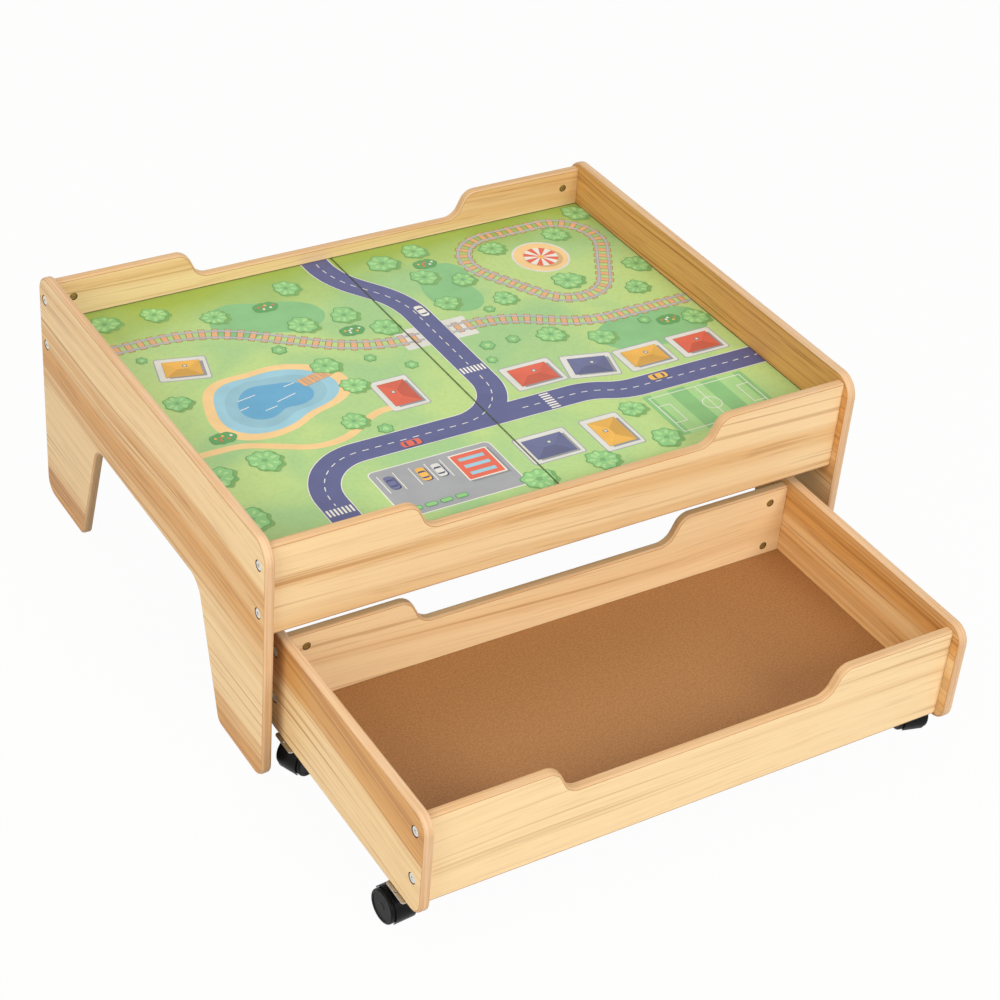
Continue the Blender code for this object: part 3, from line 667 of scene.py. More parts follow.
def turned_shape(profile, steps, turn):
    """A solid of revolution about Z from points (radius, height), then turned by a matrix."""
    shape = bmesh.new()
    points = [shape.verts.new((radius, 0, height)) for radius, height in profile]
    line = [shape.edges.new(pair) for pair in zip(points, points[1:])]
    bmesh.ops.spin(shape, geom=points + line, cent=(0, 0, 0), axis=(0, 0, 1), angle=math.tau, steps=steps,
                   use_merge=True)
    bmesh.ops.remove_doubles(shape, verts=shape.verts, dist=MERGE)
    bmesh.ops.recalc_face_normals(shape, faces=shape.faces)
    bmesh.ops.transform(shape, matrix=turn, verts=shape.verts)
    return shape


def round_profile(centre, radius, start, end, steps=5):
    """Points (radius, height) along an arc given in degrees."""
    points = []
    for i in range(steps + 1):
        at = math.radians(start + (end - start) * i / steps)
        points.append((centre[0] + radius * math.cos(at), centre[1] + radius * math.sin(at)))
    return points


def cutter(shape, looks):
    """A cutter whose faces leave bare board behind."""
    for face in shape.faces:
        face.material_index = CUT_BOARD
    return make_piece(shape, "cutter", looks)


def hole_cutter(node, axis, radius, depth, looks):
    """A blind round hole along X for a bolt head, or along Y for a nut, open at the end that shows."""
    unit, way = node.split("_")[0], AXES[axis]
    low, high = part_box(node)
    middle = (low + high) / 2
    left_panel, right_panel = (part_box(f"{unit}_end_panel_{side}") for side in SIDES)
    board = left_panel if axis == "X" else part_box(f"{unit}_rail_front")
    centre = (left_panel[0] + right_panel[1]) / 2
    opens = math.copysign(1, middle[way] - centre[way]) * (1 if axis == "X" else -1)
    mouth = high[way] if opens > 0 else low[way]
    start, end = middle.copy(), middle.copy()
    start[way] = mouth + opens * (board[1][way] - board[0][way])
    end[way] = mouth - opens * depth
    return cutter(rod_shape(radius, start, end, table_settings().fasteners.steps), looks)


def pocket_cutter(low, high, gap, looks):
    """The room for a square-edged board, with a gap all round it."""
    margin = Vector((gap, gap, gap))
    return cutter(block_shape(low - margin, high + margin), looks)


def groove_cutter(unit, gap, looks):
    """The groove that holds a unit's floor, as deep as that floor reaches."""
    first, last = FLOORS[unit]
    return pocket_cutter(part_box(first)[0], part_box(last)[1], gap, looks)


class TRAINTABLE_OT_end_panels(bpy.types.Operator):
    """Make the table's and the drawer's end panels with their bolt holes and grooves"""
    bl_idname = "train_table.end_panels"
    bl_label = "End panels"

    def execute(self, context):
        boards = context.scene.train_table.boards
        fasteners = context.scene.train_table.fasteners
        looks = board_looks("Y", "X")
        outlines = {"table": self.table_outline, "drawer": self.drawer_outline}
        for unit in FLOORS:
            for side in SIDES:
                node = f"{unit}_end_panel_{side}"
                low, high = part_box(node)
                shape = board_shape(outlines[unit](low, high, boards), "X", low.x, high.x)
                piece = make_piece(shape, f"{node}_board", looks)
                tools = [hole_cutter(f"{unit}_bolt_{end}_{side}_{level}", "X",
                                     fasteners.head_radius + fasteners.head_gap,
                                     fasteners.head_height + fasteners.gap, looks)
                         for end in ENDS for level in LEVELS]
                carve(piece, tools + [groove_cutter(unit, fasteners.gap, looks)])
                seat(shade(piece), unit, "wood_foil", node)
        return {"FINISHED"}

    @staticmethod
    def table_outline(low, high, boards):
        """Two splayed feet below one deep panel, as corners in Y, Z."""
        return [
            (low.y, low.z, boards.foot_radius),
            (low.y + boards.foot_width, low.z, boards.foot_inner_radius),
            (low.y + boards.shoulder_width, boards.notch_height, boards.notch_radius),
            (high.y - boards.shoulder_width, boards.notch_height, boards.notch_radius),
            (high.y - boards.foot_width, low.z, boards.foot_inner_radius),
            (high.y, low.z, boards.foot_radius),
            (high.y, high.z, boards.top_radius),
            (low.y, high.z, boards.top_radius),
        ]

    @staticmethod
    def drawer_outline(low, high, boards):
        """A plain panel with round corners, as corners in Y, Z."""
        return [
            (low.y, low.z, boards.drawer_foot_radius),
            (high.y, low.z, boards.drawer_foot_radius),
            (high.y, high.z, boards.drawer_top_radius),
            (low.y, high.z, boards.drawer_top_radius),
        ]


class TRAINTABLE_OT_rails(bpy.types.Operator):
    """Make the long rails with their dips, nut holes and grooves"""
    bl_idname = "train_table.rails"
    bl_label = "Rails"

    def execute(self, context):
        boards = context.scene.train_table.boards
        gap = context.scene.train_table.fasteners.gap
        looks = board_looks("X", "Y")
        for unit in FLOORS:
            inset = getattr(boards, f"{unit}_dip_inset")
            for end in ENDS:
                node = f"{unit}_rail_{end}"
                low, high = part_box(node)
                outline = self.outline(low, high, inset, boards)
                shape = board_shape(outline, "Y", low.y, high.y, round_ends=False)
                piece = make_piece(shape, f"{node}_board", looks)
                tools = [groove_cutter(unit, gap, looks)]
                for side in SIDES:
                    for level in LEVELS:
                        tools.append(self.nut_hole(f"{unit}_nut_{end}_{side}_{level}", gap, looks))
                if unit == "table":
                    tools.append(pocket_cutter(*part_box("middle_bar"), gap, looks))
                carve(piece, tools)
                seat(shade(piece), unit, "wood_foil", node)
        return {"FINISHED"}

    @staticmethod
    def outline(low, high, inset, boards):
        """The rail's long face as corners in X, Z."""
        lean = boards.dip_depth / math.tan(boards.dip_slope) / 2
        floor = high.z - boards.dip_depth
        left, right = low.x + inset, high.x - inset
        return [
            (low.x, low.z, 0), (high.x, low.z, 0), (high.x, high.z, 0),
            (right + lean, high.z, boards.dip_radius), (right - lean, floor, boards.dip_radius),
            (left + lean, floor, boards.dip_radius), (left - lean, high.z, boards.dip_radius),
            (low.x, high.z, 0),
        ]

    @staticmethod
    def nut_hole(nut, gap, looks):
        """The hole that a nut fills, with a gap round it."""
        low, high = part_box(nut)
        return hole_cutter(nut, "Y", (high.z - low.z) / 2 + gap, high.y - low.y + gap, looks)


class TRAINTABLE_OT_flat_boards(bpy.types.Operator):
    """Give the tray floor, the drawer floor, the bar and the battens their finishes"""
    bl_idname = "train_table.flat_boards"
    bl_label = "Flat boards"

    def execute(self, context):
        finishes = {
            "play_board_left": look_once("print_ground", grass_look),
            "play_board_right": look_once("print_ground", grass_look),
            "drawer_floor": finish("brown_hardboard"),
            "middle_bar": softwood_look(),
            "drawer_batten_left": softwood_look(),
            "drawer_batten_right": softwood_look(),
        }
        for node, look in finishes.items():
            NODES[node].material_slots[0].material = look
        return {"FINISHED"}


class TRAINTABLE_OT_bolts(bpy.types.Operator):
    """Make the socket-headed bolts in the end panels"""
    bl_idname = "train_table.bolts"
    bl_label = "Bolts"

    def execute(self, context):
        sizes = context.scene.train_table.fasteners
        steel = finish("plated_steel")
        for unit, spot, level in fastener_spots():
            node = f"{unit}_bolt_{spot}_{level}"
            seat(self.bolt(node, side_of(spot), sizes, steel), unit, "bolt_steel", node)
        return {"FINISHED"}

    @staticmethod
    def bolt(node, side, sizes, steel):
        """A bolt whose head faces out of the panel on its side."""
        low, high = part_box(node)
        middle = (low + high) / 2
        face = Vector((low.x if side < 0 else high.x, middle.y, middle.z))
        edge = sizes.head_edge
        tip = -(high.x - low.x)
        profile = [(0, 0)] + round_profile((sizes.head_radius - edge, -edge), edge, 90, 0) + [
            (sizes.head_radius, -sizes.head_height), (sizes.shank_radius, -sizes.head_height),
            (sizes.shank_radius, tip + edge), (sizes.shank_radius - edge, tip), (0, tip)]
        turn = Matrix.Translation(face) @ turn_to((side, 0, 0))
        piece = make_piece(turned_shape(profile, sizes.steps, turn), node + "_fine", [steel])
        inward = Vector((-side * sizes.socket_depth, 0, 0))
        socket = rod_shape(sizes.socket_radius, face - inward, face + inward, HEXAGON)
        return shade(carve(piece, [make_piece(socket, "socket", [steel])]))


class TRAINTABLE_OT_nuts(bpy.types.Operator):
    """Make the slotted barrel nuts in the rails"""
    bl_idname = "train_table.nuts"
    bl_label = "Barrel nuts"

    def execute(self, context):
        sizes = context.scene.train_table.fasteners
        brass = finish("dull_brass")
        for unit, spot, level in fastener_spots():
            node = f"{unit}_nut_{spot}_{level}"
            inside = 1 if "front" in spot else -1
            nut = self.nut(node, f"{unit}_bolt_{spot}_{level}", inside, sizes, brass)
            seat(nut, unit, "nut_brass", node)
        return {"FINISHED"}

    @staticmethod
    def nut(node, bolt, inside, sizes, brass):
        """A nut whose slotted end faces the inside of the tray or drawer."""
        low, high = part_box(node)
        middle = (low + high) / 2
        radius, edge = (high.z - low.z) / 2, sizes.nut_edge
        face = Vector((middle.x, high.y if inside > 0 else low.y, middle.z))
        back = -(high.y - low.y)
        profile = [(0, 0), (radius - edge, 0), (radius, -edge),
                   (radius, back + edge), (radius - edge, back), (0, back)]
        turn = Matrix.Translation(face) @ turn_to((0, inside, 0))
        piece = make_piece(turned_shape(profile, sizes.steps, turn), node + "_fine", [brass])
        bolt_low, bolt_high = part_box(bolt)
        across = Vector((2 * radius, 0, 0))
        on_bolt = Vector((middle.x, (bolt_low.y + bolt_high.y) / 2, middle.z))
        bore = rod_shape(sizes.shank_radius + sizes.gap, on_bolt - across, on_bolt + across, sizes.steps)
        reach = Vector((2 * radius, sizes.slot_depth, sizes.slot_width / 2))
        slot = block_shape(face - reach, face + reach)
        return shade(carve(piece, [make_piece(bore, "bore", [brass]), make_piece(slot, "slot", [brass])]))


def plate_holes(sizes, pin):
    """The middles of a plate's four holes, at its underside."""
    half_x = sizes.plate_width / 2 - sizes.hole_inset
    half_y = sizes.plate_length / 2 - sizes.hole_end_inset
    return [pin + Vector((x, y, 0)) for x, y in ((-half_x, 0), (half_x, 0), (0, -half_y), (0, half_y))]


class TRAINTABLE_OT_casters(bpy.types.Operator):
    """Make the casters: twin wheels, hoods, plates and the plates' screws"""
    bl_idname = "train_table.casters"
    bl_label = "Casters"

    def execute(self, context):
        sizes = context.scene.train_table.casters
        nylon = finish("black_nylon")
        steel = finish("pressed_steel")
        for spot in SPOTS:
            swivel, roll = JOINTS[f"swivel_{spot}"], JOINTS[f"roll_{spot}"]
            pin, axle = Vector(swivel["pos_m"]), Vector(roll["pos_m"])
            heading = math.atan2(roll["axis"][1], roll["axis"][0])
            trail = (axle - pin).xy.length
            stand = Matrix.Translation((pin.x, pin.y, 0)) @ Matrix.Rotation(heading, 4, "Z")
            wheels = self.wheels(f"wheels_{spot}_fine", sizes, trail, axle.z, stand, nylon)
            seat(wheels, f"wheels_{spot}", "caster_black", f"caster_wheels_{spot}")
            hood = self.hood(f"hood_{spot}_fine", sizes, trail, axle.z, pin.z, stand, nylon)
            seat(hood, f"caster_{spot}", "caster_black", f"caster_hood_{spot}")
            plate = self.plate(f"plate_{spot}_fine", sizes, pin, steel)
            seat(plate, "drawer", "plate_steel", f"caster_plate_{spot}")
            screws = self.screws(f"plate_screws_{spot}", sizes, pin, side_of(spot))
            seat(screws, "drawer", "bolt_steel")
        return {"FINISHED"}

    @staticmethod
    def wheels(name, sizes, trail, radius, stand, nylon):
        """Two wheels on their axle: rounded treads, rim bands, dished discs and caps."""
        outer, inner = sizes.width / 2, sizes.web_width / 2 + sizes.clearance
        edge, disc, dish = sizes.tread_round, radius - sizes.rim, sizes.dish
        half = [(0, outer - dish / 2), (sizes.cap_radius - dish / 2, outer - dish / 2),
                (sizes.cap_radius, outer - dish), (disc - dish, outer - dish),
                (disc - dish / 2, outer - dish / 4), (disc, outer)]
        half += round_profile((radius - edge, outer - edge), edge, 90, 0)
        half += round_profile((radius - edge / 2, inner + edge / 2), edge / 2, 0, -90, steps=3)
        half += [(sizes.axle_radius, inner)]
        profile = half + [(r, -along) for r, along in reversed(half)]
        turn = stand @ Matrix.Translation((0, trail, radius)) @ turn_to((1, 0, 0))
        return shade(make_piece(turned_shape(profile, sizes.steps, turn), name, [nylon]))

    @staticmethod
    def swept(half, inner, outer, edge, sizes, trail, radius):
        """A band round the axle between two radii, of half its width on each side, as long as the hood."""
        shape = bmesh.new()
        corners = [(-half, inner), (half, inner), (half, outer), (-half, outer)]
        points = [shape.verts.new((x, trail - r, radius)) for x, r in corners]
        shape.faces.new(points)
        if edge:
            round_points(shape, points, edge, sizes.hood_edge_steps)
        axle = Vector((0, trail, radius))
        bmesh.ops.rotate(shape, verts=shape.verts, cent=axle, matrix=Matrix.Rotation(-sizes.hood_low, 3, "X"))
        bmesh.ops.spin(shape, geom=all_parts(shape), cent=axle, axis=(-1, 0, 0),
                       angle=sizes.hood_high - sizes.hood_low, steps=sizes.hood_steps)
        bmesh.ops.recalc_face_normals(shape, faces=shape.faces)
        return shape

    def hood(self, name, sizes, trail, radius, plate_foot, stand, nylon):
        """The hood over the wheels, with the web between them and the collar on the plate's pin."""
        inner = radius + sizes.hood_gap
        outer = inner + sizes.hood_wall
        middle = (inner + outer) / 2
        axle, across = Vector((0, trail, radius)), Vector((sizes.width, 0, 0))
        half = sizes.width / 2 - sizes.side_showing
        cover = self.swept(half, inner, outer, sizes.hood_edge, sizes, trail, radius)
        hood = make_piece(cover, name, [nylon])
        web = make_piece(self.swept(sizes.web_width / 2, sizes.hub_radius, middle, 0, sizes, trail, radius),
                         "web", [nylon])
        collar_top = (0, 0, plate_foot - sizes.clearance)
        collar = make_piece(rod_shape(sizes.collar_radius, (0, 0, radius), collar_top, sizes.steps),
                            "collar", [nylon])
        wheel_space = rod_shape(middle, axle - across, axle + across, 2 * sizes.hood_steps)
        carve(collar, [make_piece(wheel_space, "wheel_space", [nylon])])
        carve(hood, [web, collar], "UNION")
        pin_foot = (0, 0, plate_foot - sizes.pin_length - sizes.clearance)
        above_plate = (0, 0, plate_foot + radius)
        pin_bore = rod_shape(sizes.pin_radius + sizes.clearance, pin_foot, above_plate, sizes.steps)
        axle_bore = rod_shape(sizes.axle_radius + sizes.clearance, axle - across, axle + across, sizes.steps)
        carve(hood, [make_piece(pin_bore, "pin_bore", [nylon]), make_piece(axle_bore, "axle_bore", [nylon])])
        hood.data.transform(stand)
        return shade(hood)

    @staticmethod
    def plate(name, sizes, pin, steel):
        """The drawer's steel plate with its swivel pin and four holes."""
        half_x, half_y = sizes.plate_width / 2, sizes.plate_length / 2
        corners = [(pin.x + sx * half_x, pin.y + sy * half_y, sizes.plate_radius)
                   for sx, sy in ((-1, -1), (1, -1), (1, 1), (-1, 1))]
        shape = bmesh.new()
        points = [shape.verts.new((x, y, pin.z)) for x, y, radius in corners]
        shape.faces.new(points)
        round_corners(shape, corners, points, sizes.plate_corner_steps)
        thicken(shape, (0, 0, sizes.plate_thickness))
        rims = [edge for edge in shape.edges if abs(edge.verts[0].co.z - edge.verts[1].co.z) < MERGE]
        round_edges(shape, rims, sizes.plate_edge, sizes.plate_edge_steps)
        plate = make_piece(shape, name, [steel])
        down = Vector((0, 0, sizes.pin_length))
        up = Vector((0, 0, sizes.plate_thickness / 2))
        swivel_pin = rod_shape(sizes.pin_radius, pin - down, pin + up, sizes.steps)
        carve(plate, [make_piece(swivel_pin, "pin", [steel])], "UNION")
        drills = [rod_shape(sizes.hole_radius, hole - down, hole + down, sizes.screw_steps)
                  for hole in plate_holes(sizes, pin)]
        return shade(carve(plate, [make_piece(drill, "hole", [steel]) for drill in drills]))

    @staticmethod
    def screws(name, sizes, pin, outward):
        """Pan-headed screws in the holes that lie under the drawer's wood."""
        shape = bmesh.new()
        height = sizes.screw_height
        profile = [(0, -height)] + round_profile((sizes.screw_radius - height, 0), height, -90, 0) + [(0, 0)]
        for hole in plate_holes(sizes, pin):
            if (hole.x - pin.x) * outward > MERGE:
                continue
            head = turned_shape(profile, sizes.screw_steps, Matrix.Translation(hole))
            mesh = bpy.data.meshes.new("head")
            head.to_mesh(mesh)
            head.free()
            shape.from_mesh(mesh)
            bpy.data.meshes.remove(mesh)
        return shade(make_piece(shape, name, [finish("plated_steel")]))


def place_at(x, y, heading=0.0):
    """The pose at a place on the map, with +X along a heading in degrees."""
    return Matrix.Translation((x, y, 0)) @ Matrix.Rotation(math.radians(heading), 4, "Z")


def beside(pose, x, y):
    """A pose moved in its own frame."""
    return pose @ Matrix.Translation((x, y, 0))


def shadow_of(pose, fall):
    """A pose moved to the right and the front of the map, where the printed shadows fall."""
    return Matrix.Translation((fall, -fall, 0)) @ pose


class Route:
    """A line on the map: a start, a heading in degrees, and moves.

    A move is a straight (length,) or a bend (radius, degrees), to the left where the degrees are positive.
    """
    DEGREES_PER_STEP = 4
    FEWEST_STEPS = 4

    def __init__(self, x, y, heading, *moves):
        self.start = place_at(x, y, heading)
        self.moves = moves

    @staticmethod
    def span(move):
        return move[0] if len(move) == 1 else move[0] * math.radians(abs(move[1]))

    @staticmethod
    def step(pose, move, share=1.0):
        """The pose after a share of one move; +X points along the line."""
        if len(move) == 1:
            return beside(pose, move[0] * share, 0)
        side = Matrix.Translation((0, math.copysign(move[0], move[1]), 0))
        return pose @ side @ Matrix.Rotation(math.radians(move[1]) * share, 4, "Z") @ side.inverted()

    def ribbon(self, shape, low, high):
        """Sweep a strip from offset low to offset high, counted to the left of the line."""
        pose = self.start
        edge = shape.edges.new([shape.verts.new(pose @ Vector((0, side, 0))) for side in (low, high)])
        for move in self.moves:
            if len(move) == 1:
                made = moved_verts(bmesh.ops.extrude_edge_only(shape, edges=[edge])["geom"])
                forward = pose.to_3x3() @ Vector((move[0], 0, 0))
                bmesh.ops.translate(shape, vec=forward, verts=made)
                edge = shape.edges.get(made)
            else:
                centre = pose @ Vector((0, math.copysign(move[0], move[1]), 0))
                steps = max(self.FEWEST_STEPS, int(abs(move[1]) / self.DEGREES_PER_STEP))
                last = bmesh.ops.spin(shape, geom=[edge, *edge.verts], cent=centre, axis=(0, 0, 1),
                                      angle=math.radians(move[1]), steps=steps)["geom_last"]
                edge = next(part for part in last if isinstance(part, bmesh.types.BMEdge))
            pose = self.step(pose, move)

    def poses(self, spacing, start=0.0):
        """Poses along the line, one every spacing."""
        at, pose = start, self.start
        for move in self.moves:
            span = self.span(move)
            while at <= span:
                yield self.step(pose, move, at / span)
                at += spacing
            at -= span
            pose = self.step(pose, move)


def add_tile(shape, pose, long, wide, radius=0.0, steps=5):
    """A flat rectangle about a pose, with corners of that radius."""
    made = bmesh.ops.create_grid(shape, x_segments=1, y_segments=1, size=0.5,
                                 matrix=pose @ Matrix.Diagonal((long, wide, 1, 1)))["verts"]
    if radius:
        round_points(shape, made, radius, steps)


def add_disc(shape, pose, radius, steps=48):
    bmesh.ops.create_circle(shape, cap_ends=True, segments=steps, radius=radius, matrix=pose)


def add_ring(shape, pose, radius, width, steps=64):
    """A flat ring of that width inside a radius."""
    ends = [shape.verts.new(pose @ Vector((r, 0, 0))) for r in (radius - width, radius)]
    edge = shape.edges.new(ends)
    bmesh.ops.spin(shape, geom=[edge, *ends], cent=pose.translation, axis=(0, 0, 1), angle=math.tau,
                   steps=steps, use_merge=True)


def add_blob(shape, pose, radius, waves, steps=96):
    """A closed shape whose radius swells by waves of (count, share, turn in degrees)."""
    made = bmesh.ops.create_circle(shape, cap_ends=True, segments=steps, radius=radius)["verts"]
    for vert in made:
        at = math.atan2(vert.co.y, vert.co.x)
        vert.co *= 1 + sum(share * math.cos(n * at + math.radians(turn)) for n, share, turn in waves)
    bmesh.ops.transform(shape, matrix=pose, verts=made)


def add_face(shape, pose, points):
    """A flat face from points (x, y) about a pose."""
    shape.faces.new([shape.verts.new(pose @ Vector((x, y, 0))) for x, y in points])


def add_frame(shape, pose, long, wide, line):
    """The outline of a rectangle, drawn with a line inside its edge."""
    for sign in (-1, 1):
        add_tile(shape, beside(pose, 0, sign * (wide - line) / 2), long, line)
        add_tile(shape, beside(pose, sign * (long - line) / 2, 0), line, wide - 2 * line)


class Sheet:
    """The map as layers of flat shapes, each in one ink and at one height."""

    def __init__(self):
        self.layers = {}

    def layer(self, level, ink, tone=1.0):
        """The shape that holds one ink at one level; a tone below one darkens the ink."""
        if (level, ink, tone) not in self.layers:
            self.layers[level, ink, tone] = bmesh.new()
        return self.layers[level, ink, tone]

    def lay(self, settings):
        """Trim the layers to the two boards and lay them on the tray as thin printed skins."""
        middle = (TRAY_LOW + TRAY_HIGH) / 2
        walls = [(TRAY_LOW, (-1, 0, 0)), (TRAY_HIGH, (1, 0, 0)),
                 (TRAY_LOW, (0, -1, 0)), (TRAY_HIGH, (0, 1, 0))]
        for (level, ink, tone), shape in self.layers.items():
            bmesh.ops.translate(shape, vec=middle, verts=shape.verts)
            for corner, outward in walls:
                bmesh.ops.bisect_plane(shape, geom=all_parts(shape), plane_co=corner, plane_no=outward,
                                       clear_outer=True)
            for x in SEAM:
                bmesh.ops.bisect_plane(shape, geom=all_parts(shape), plane_co=(x, 0, 0), plane_no=(1, 0, 0))
            in_seam = [face for face in shape.faces if SEAM[0] < face.calc_center_median().x < SEAM[1]]
            bmesh.ops.delete(shape, geom=in_seam, context="FACES")
            bmesh.ops.translate(shape, vec=(0, 0, TRAY_TOP + settings.ink * (level - 1)), verts=shape.verts)
            thicken(shape, (0, 0, settings.ink))
            piece = make_piece(shape, f"print_{ink}_{tone:.2f}_{level}", [ink_look(ink, tone)])
            seat(piece, "table", "play_print")


class TRAINTABLE_OT_play_map(bpy.types.Operator):
    """Print a play map with a railway, roads, a pond, houses and trees on the tray's floor"""
    bl_idname = "train_table.play_map"
    bl_label = "Play map"

    # Heights of the printed layers, from the ground up; the last holds painted shade at the seam and at the
    # foot of the walls
    (PATCH, PATH, PAD, PAVING, LINE, SLEEPER_EDGE, SLEEPER, RAIL_EDGE, RAIL, KERB, ROAD, MARK, SHADE,
     ROOF_EDGE, ROOF, ROOF_MARK, CROWN_EDGE, CROWN, LEAF, JOINT) = range(1, 21)
    # Lifts a shape above another of its own layer
    HALF_UP = 0.5
    # How far the shadows of houses and trees fall
    SHADOW = 0.0035

    def execute(self, context):
        self.inks = context.scene.train_table.play_map
        self.sheet = Sheet()
        self.draw_grounds()
        self.draw_railway()
        self.draw_roads()
        self.draw_park()
        self.draw_pitch()
        self.draw_yard()
        self.draw_houses()
        self.draw_trees()
        self.draw_joint_shade()
        self.sheet.lay(self.inks)
        return {"FINISHED"}

    def layer(self, level, ink, tone=1.0):
        return self.sheet.layer(level, ink, tone)

    def draw_grounds(self):
        """A pond with a sandy shore, a landing stage, a sand path and cooler meadows."""
        pond = place_at(-0.222, 0.022, 14)
        shore = [(2, 0.20, 0), (3, 0.08, 40), (5, 0.03, 100)]
        add_blob(self.layer(self.PATCH, "sand"), pond, 0.082, shore)
        add_blob(self.layer(self.PAD, "water"), pond, 0.069, shore)
        add_blob(self.layer(self.PAVING, "water", 0.88), pond, 0.056, [(2, 0.22, 0), (3, 0.10, 50)])
        add_blob(self.layer(self.LINE, "deep"), pond, 0.040, [(2, 0.25, 10), (3, 0.12, 70)])
        ripples = ((-0.250, 0.036, 10, 0.026), (-0.205, 0.018, 16, 0.030), (-0.232, 0.004, 12, 0.018),
                   (-0.190, 0.042, 12, 0.016), (-0.262, 0.016, 14, 0.014))
        for x, y, turn, long in ripples:
            add_tile(self.layer(self.SLEEPER, "white"), place_at(x, y, turn), long, 0.0013, 0.0006)
        planks, plank_step, plank_wide, plank_long = 7, 0.0062, 0.0055, 0.017
        for plank in range(planks):
            pose = beside(pond, 0.052 + plank * plank_step, 0.004)
            tone = 1.0 - 0.08 * (plank % 2)
            add_tile(self.layer(self.ROOF, "sleeper", tone), pose, plank_wide, plank_long, 0.0006)
        meadows = ((-0.150, 0.194, -12, 0.056, [(2, 0.34, 0), (3, 0.07, 20), (5, 0.03, 0)]),
                   (0.300, -0.030, 4, 0.058, [(2, 0.34, 10), (4, 0.06, 0)]),
                   (0.108, 0.166, 78, 0.048, [(2, 0.30, 0), (3, 0.08, 90)]))
        for x, y, turn, radius, waves in meadows:
            add_blob(self.layer(self.PATCH, "field"), place_at(x, y, turn), radius, waves)
        path_half = 0.0055
        path = Route(-0.388, -0.052, 0, (0.07,), (0.08, -28), (0.045,), (0.08, 60), (0.03,), (0.06, -32),
                     (0.035,))
        path.ribbon(self.layer(self.PATH, "sand", 0.97), -path_half, path_half)

    def draw_railway(self):
        """One line that winds from the left wall to the right wall, a three-cornered loop, and a crossing."""
        inks, edge = self.inks, self.inks.outline
        wide, long = inks.sleeper_width, inks.sleeper_length
        line = Route(-0.388, 0.200, 0, (0.09,), (0.20, -36), (0.085,), (0.20, 36), (0.08,), (0.16, -30),
                     (0.03,), (0.16, 30), (0.13,))
        loop = Route(0.2195, 0.264, 0, *((0.085,), (0.058, -120)) * 3)
        for track in (line, loop):
            for pose in track.poses(inks.sleeper_step, inks.sleeper_step / 2):
                add_tile(self.layer(self.SLEEPER_EDGE, "sleeper_edge"), pose, wide, long, edge)
                add_tile(self.layer(self.SLEEPER, "sleeper"), pose, wide - 2 * edge, long - 2 * edge, edge)
            for side in (-1, 1):
                low = (side * inks.gauge - inks.rail) / 2
                high = (side * inks.gauge + inks.rail) / 2
                track.ribbon(self.layer(self.RAIL_EDGE, "rail_grey", 0.50), low - edge / 2, high + edge / 2)
                track.ribbon(self.layer(self.RAIL, "rail_grey"), low, high)
        add_tile(self.layer(self.PAD, "slab"), place_at(0.035, 0.0736), 0.104, 0.046, 0.002)

    def draw_roads(self):
        """A street that winds from the front wall to the back wall, and a side street to the right wall."""
        half = self.inks.road_width / 2
        line = self.inks.road_line
        street = Route(-0.255, -0.300, 90, (0.103,), (0.075, -90), (0.140,), (0.075, 90), (0.170,),
                       (0.12, 35), (0.03,), (0.12, -35), (0.05,))
        side_street = Route(-0.040, -0.122, 0, (0.160,), (0.10, -25), (0.10, 25), (0.25,))
        for road, lift, first_dash in ((street, 0, self.inks.dash), (side_street, self.HALF_UP, 0.090)):
            road.ribbon(self.layer(self.KERB + lift, "white"), -half, half)
            road.ribbon(self.layer(self.ROAD + lift, "road"), line - half, half - line)
            for pose in road.poses(2 * self.inks.dash, first_dash):
                add_tile(self.layer(self.MARK, "white"), pose, self.inks.dash, line)
        bar_step, bar_long, bar_wide = 0.0050, 0.013, 0.0027
        for x, y, heading in ((-0.255, -0.218, 90), (0.085, -0.122, 0), (0.035, -0.020, 90)):
            crossing = place_at(x, y, heading)
            add_tile(self.layer(self.MARK + self.HALF_UP, "road"), crossing, 0.022, 2 * (half - line))
            for bar in range(-3, 4):
                pose = beside(crossing, 0, bar * bar_step)
                add_tile(self.layer(self.MARK + 2 * self.HALF_UP, "white"), pose, bar_long, bar_wide)
        for x, y, heading, ink in ((-0.115, -0.1315, 0, "roof_red"), (0.2400, -0.1310, 180, "roof_gold"),
                                   (0.0445, 0.128, 92, "white")):
            self.draw_car(place_at(x, y, heading), ink)

    def draw_park(self):
        """A sanded round with a striped tent, inside the railway's loop."""
        middle = place_at(0.262, 0.186)
        add_ring(self.layer(self.PATH, "slab"), middle, 0.040, 0.0030)
        add_disc(self.layer(self.PATCH, "sand"), middle, 0.0385)
        add_disc(self.layer(self.SHADE, "sand", 0.72), shadow_of(middle, 0.004), 0.0245)
        wedges, radius = 16, 0.0240
        for wedge in range(wedges):
            ink = "white" if wedge % 2 else "roof_red"
            turns = [Matrix.Rotation(math.tau * (wedge + corner) / wedges, 3, "Z") for corner in (0, 1)]
            rim = [(turn @ Vector((radius, 0, 0))).xy for turn in turns]
            add_face(self.layer(self.ROOF, ink), middle, [(0, 0), *rim])
        add_disc(self.layer(self.ROOF_MARK, "roof_gold"), middle, 0.0042, steps=24)

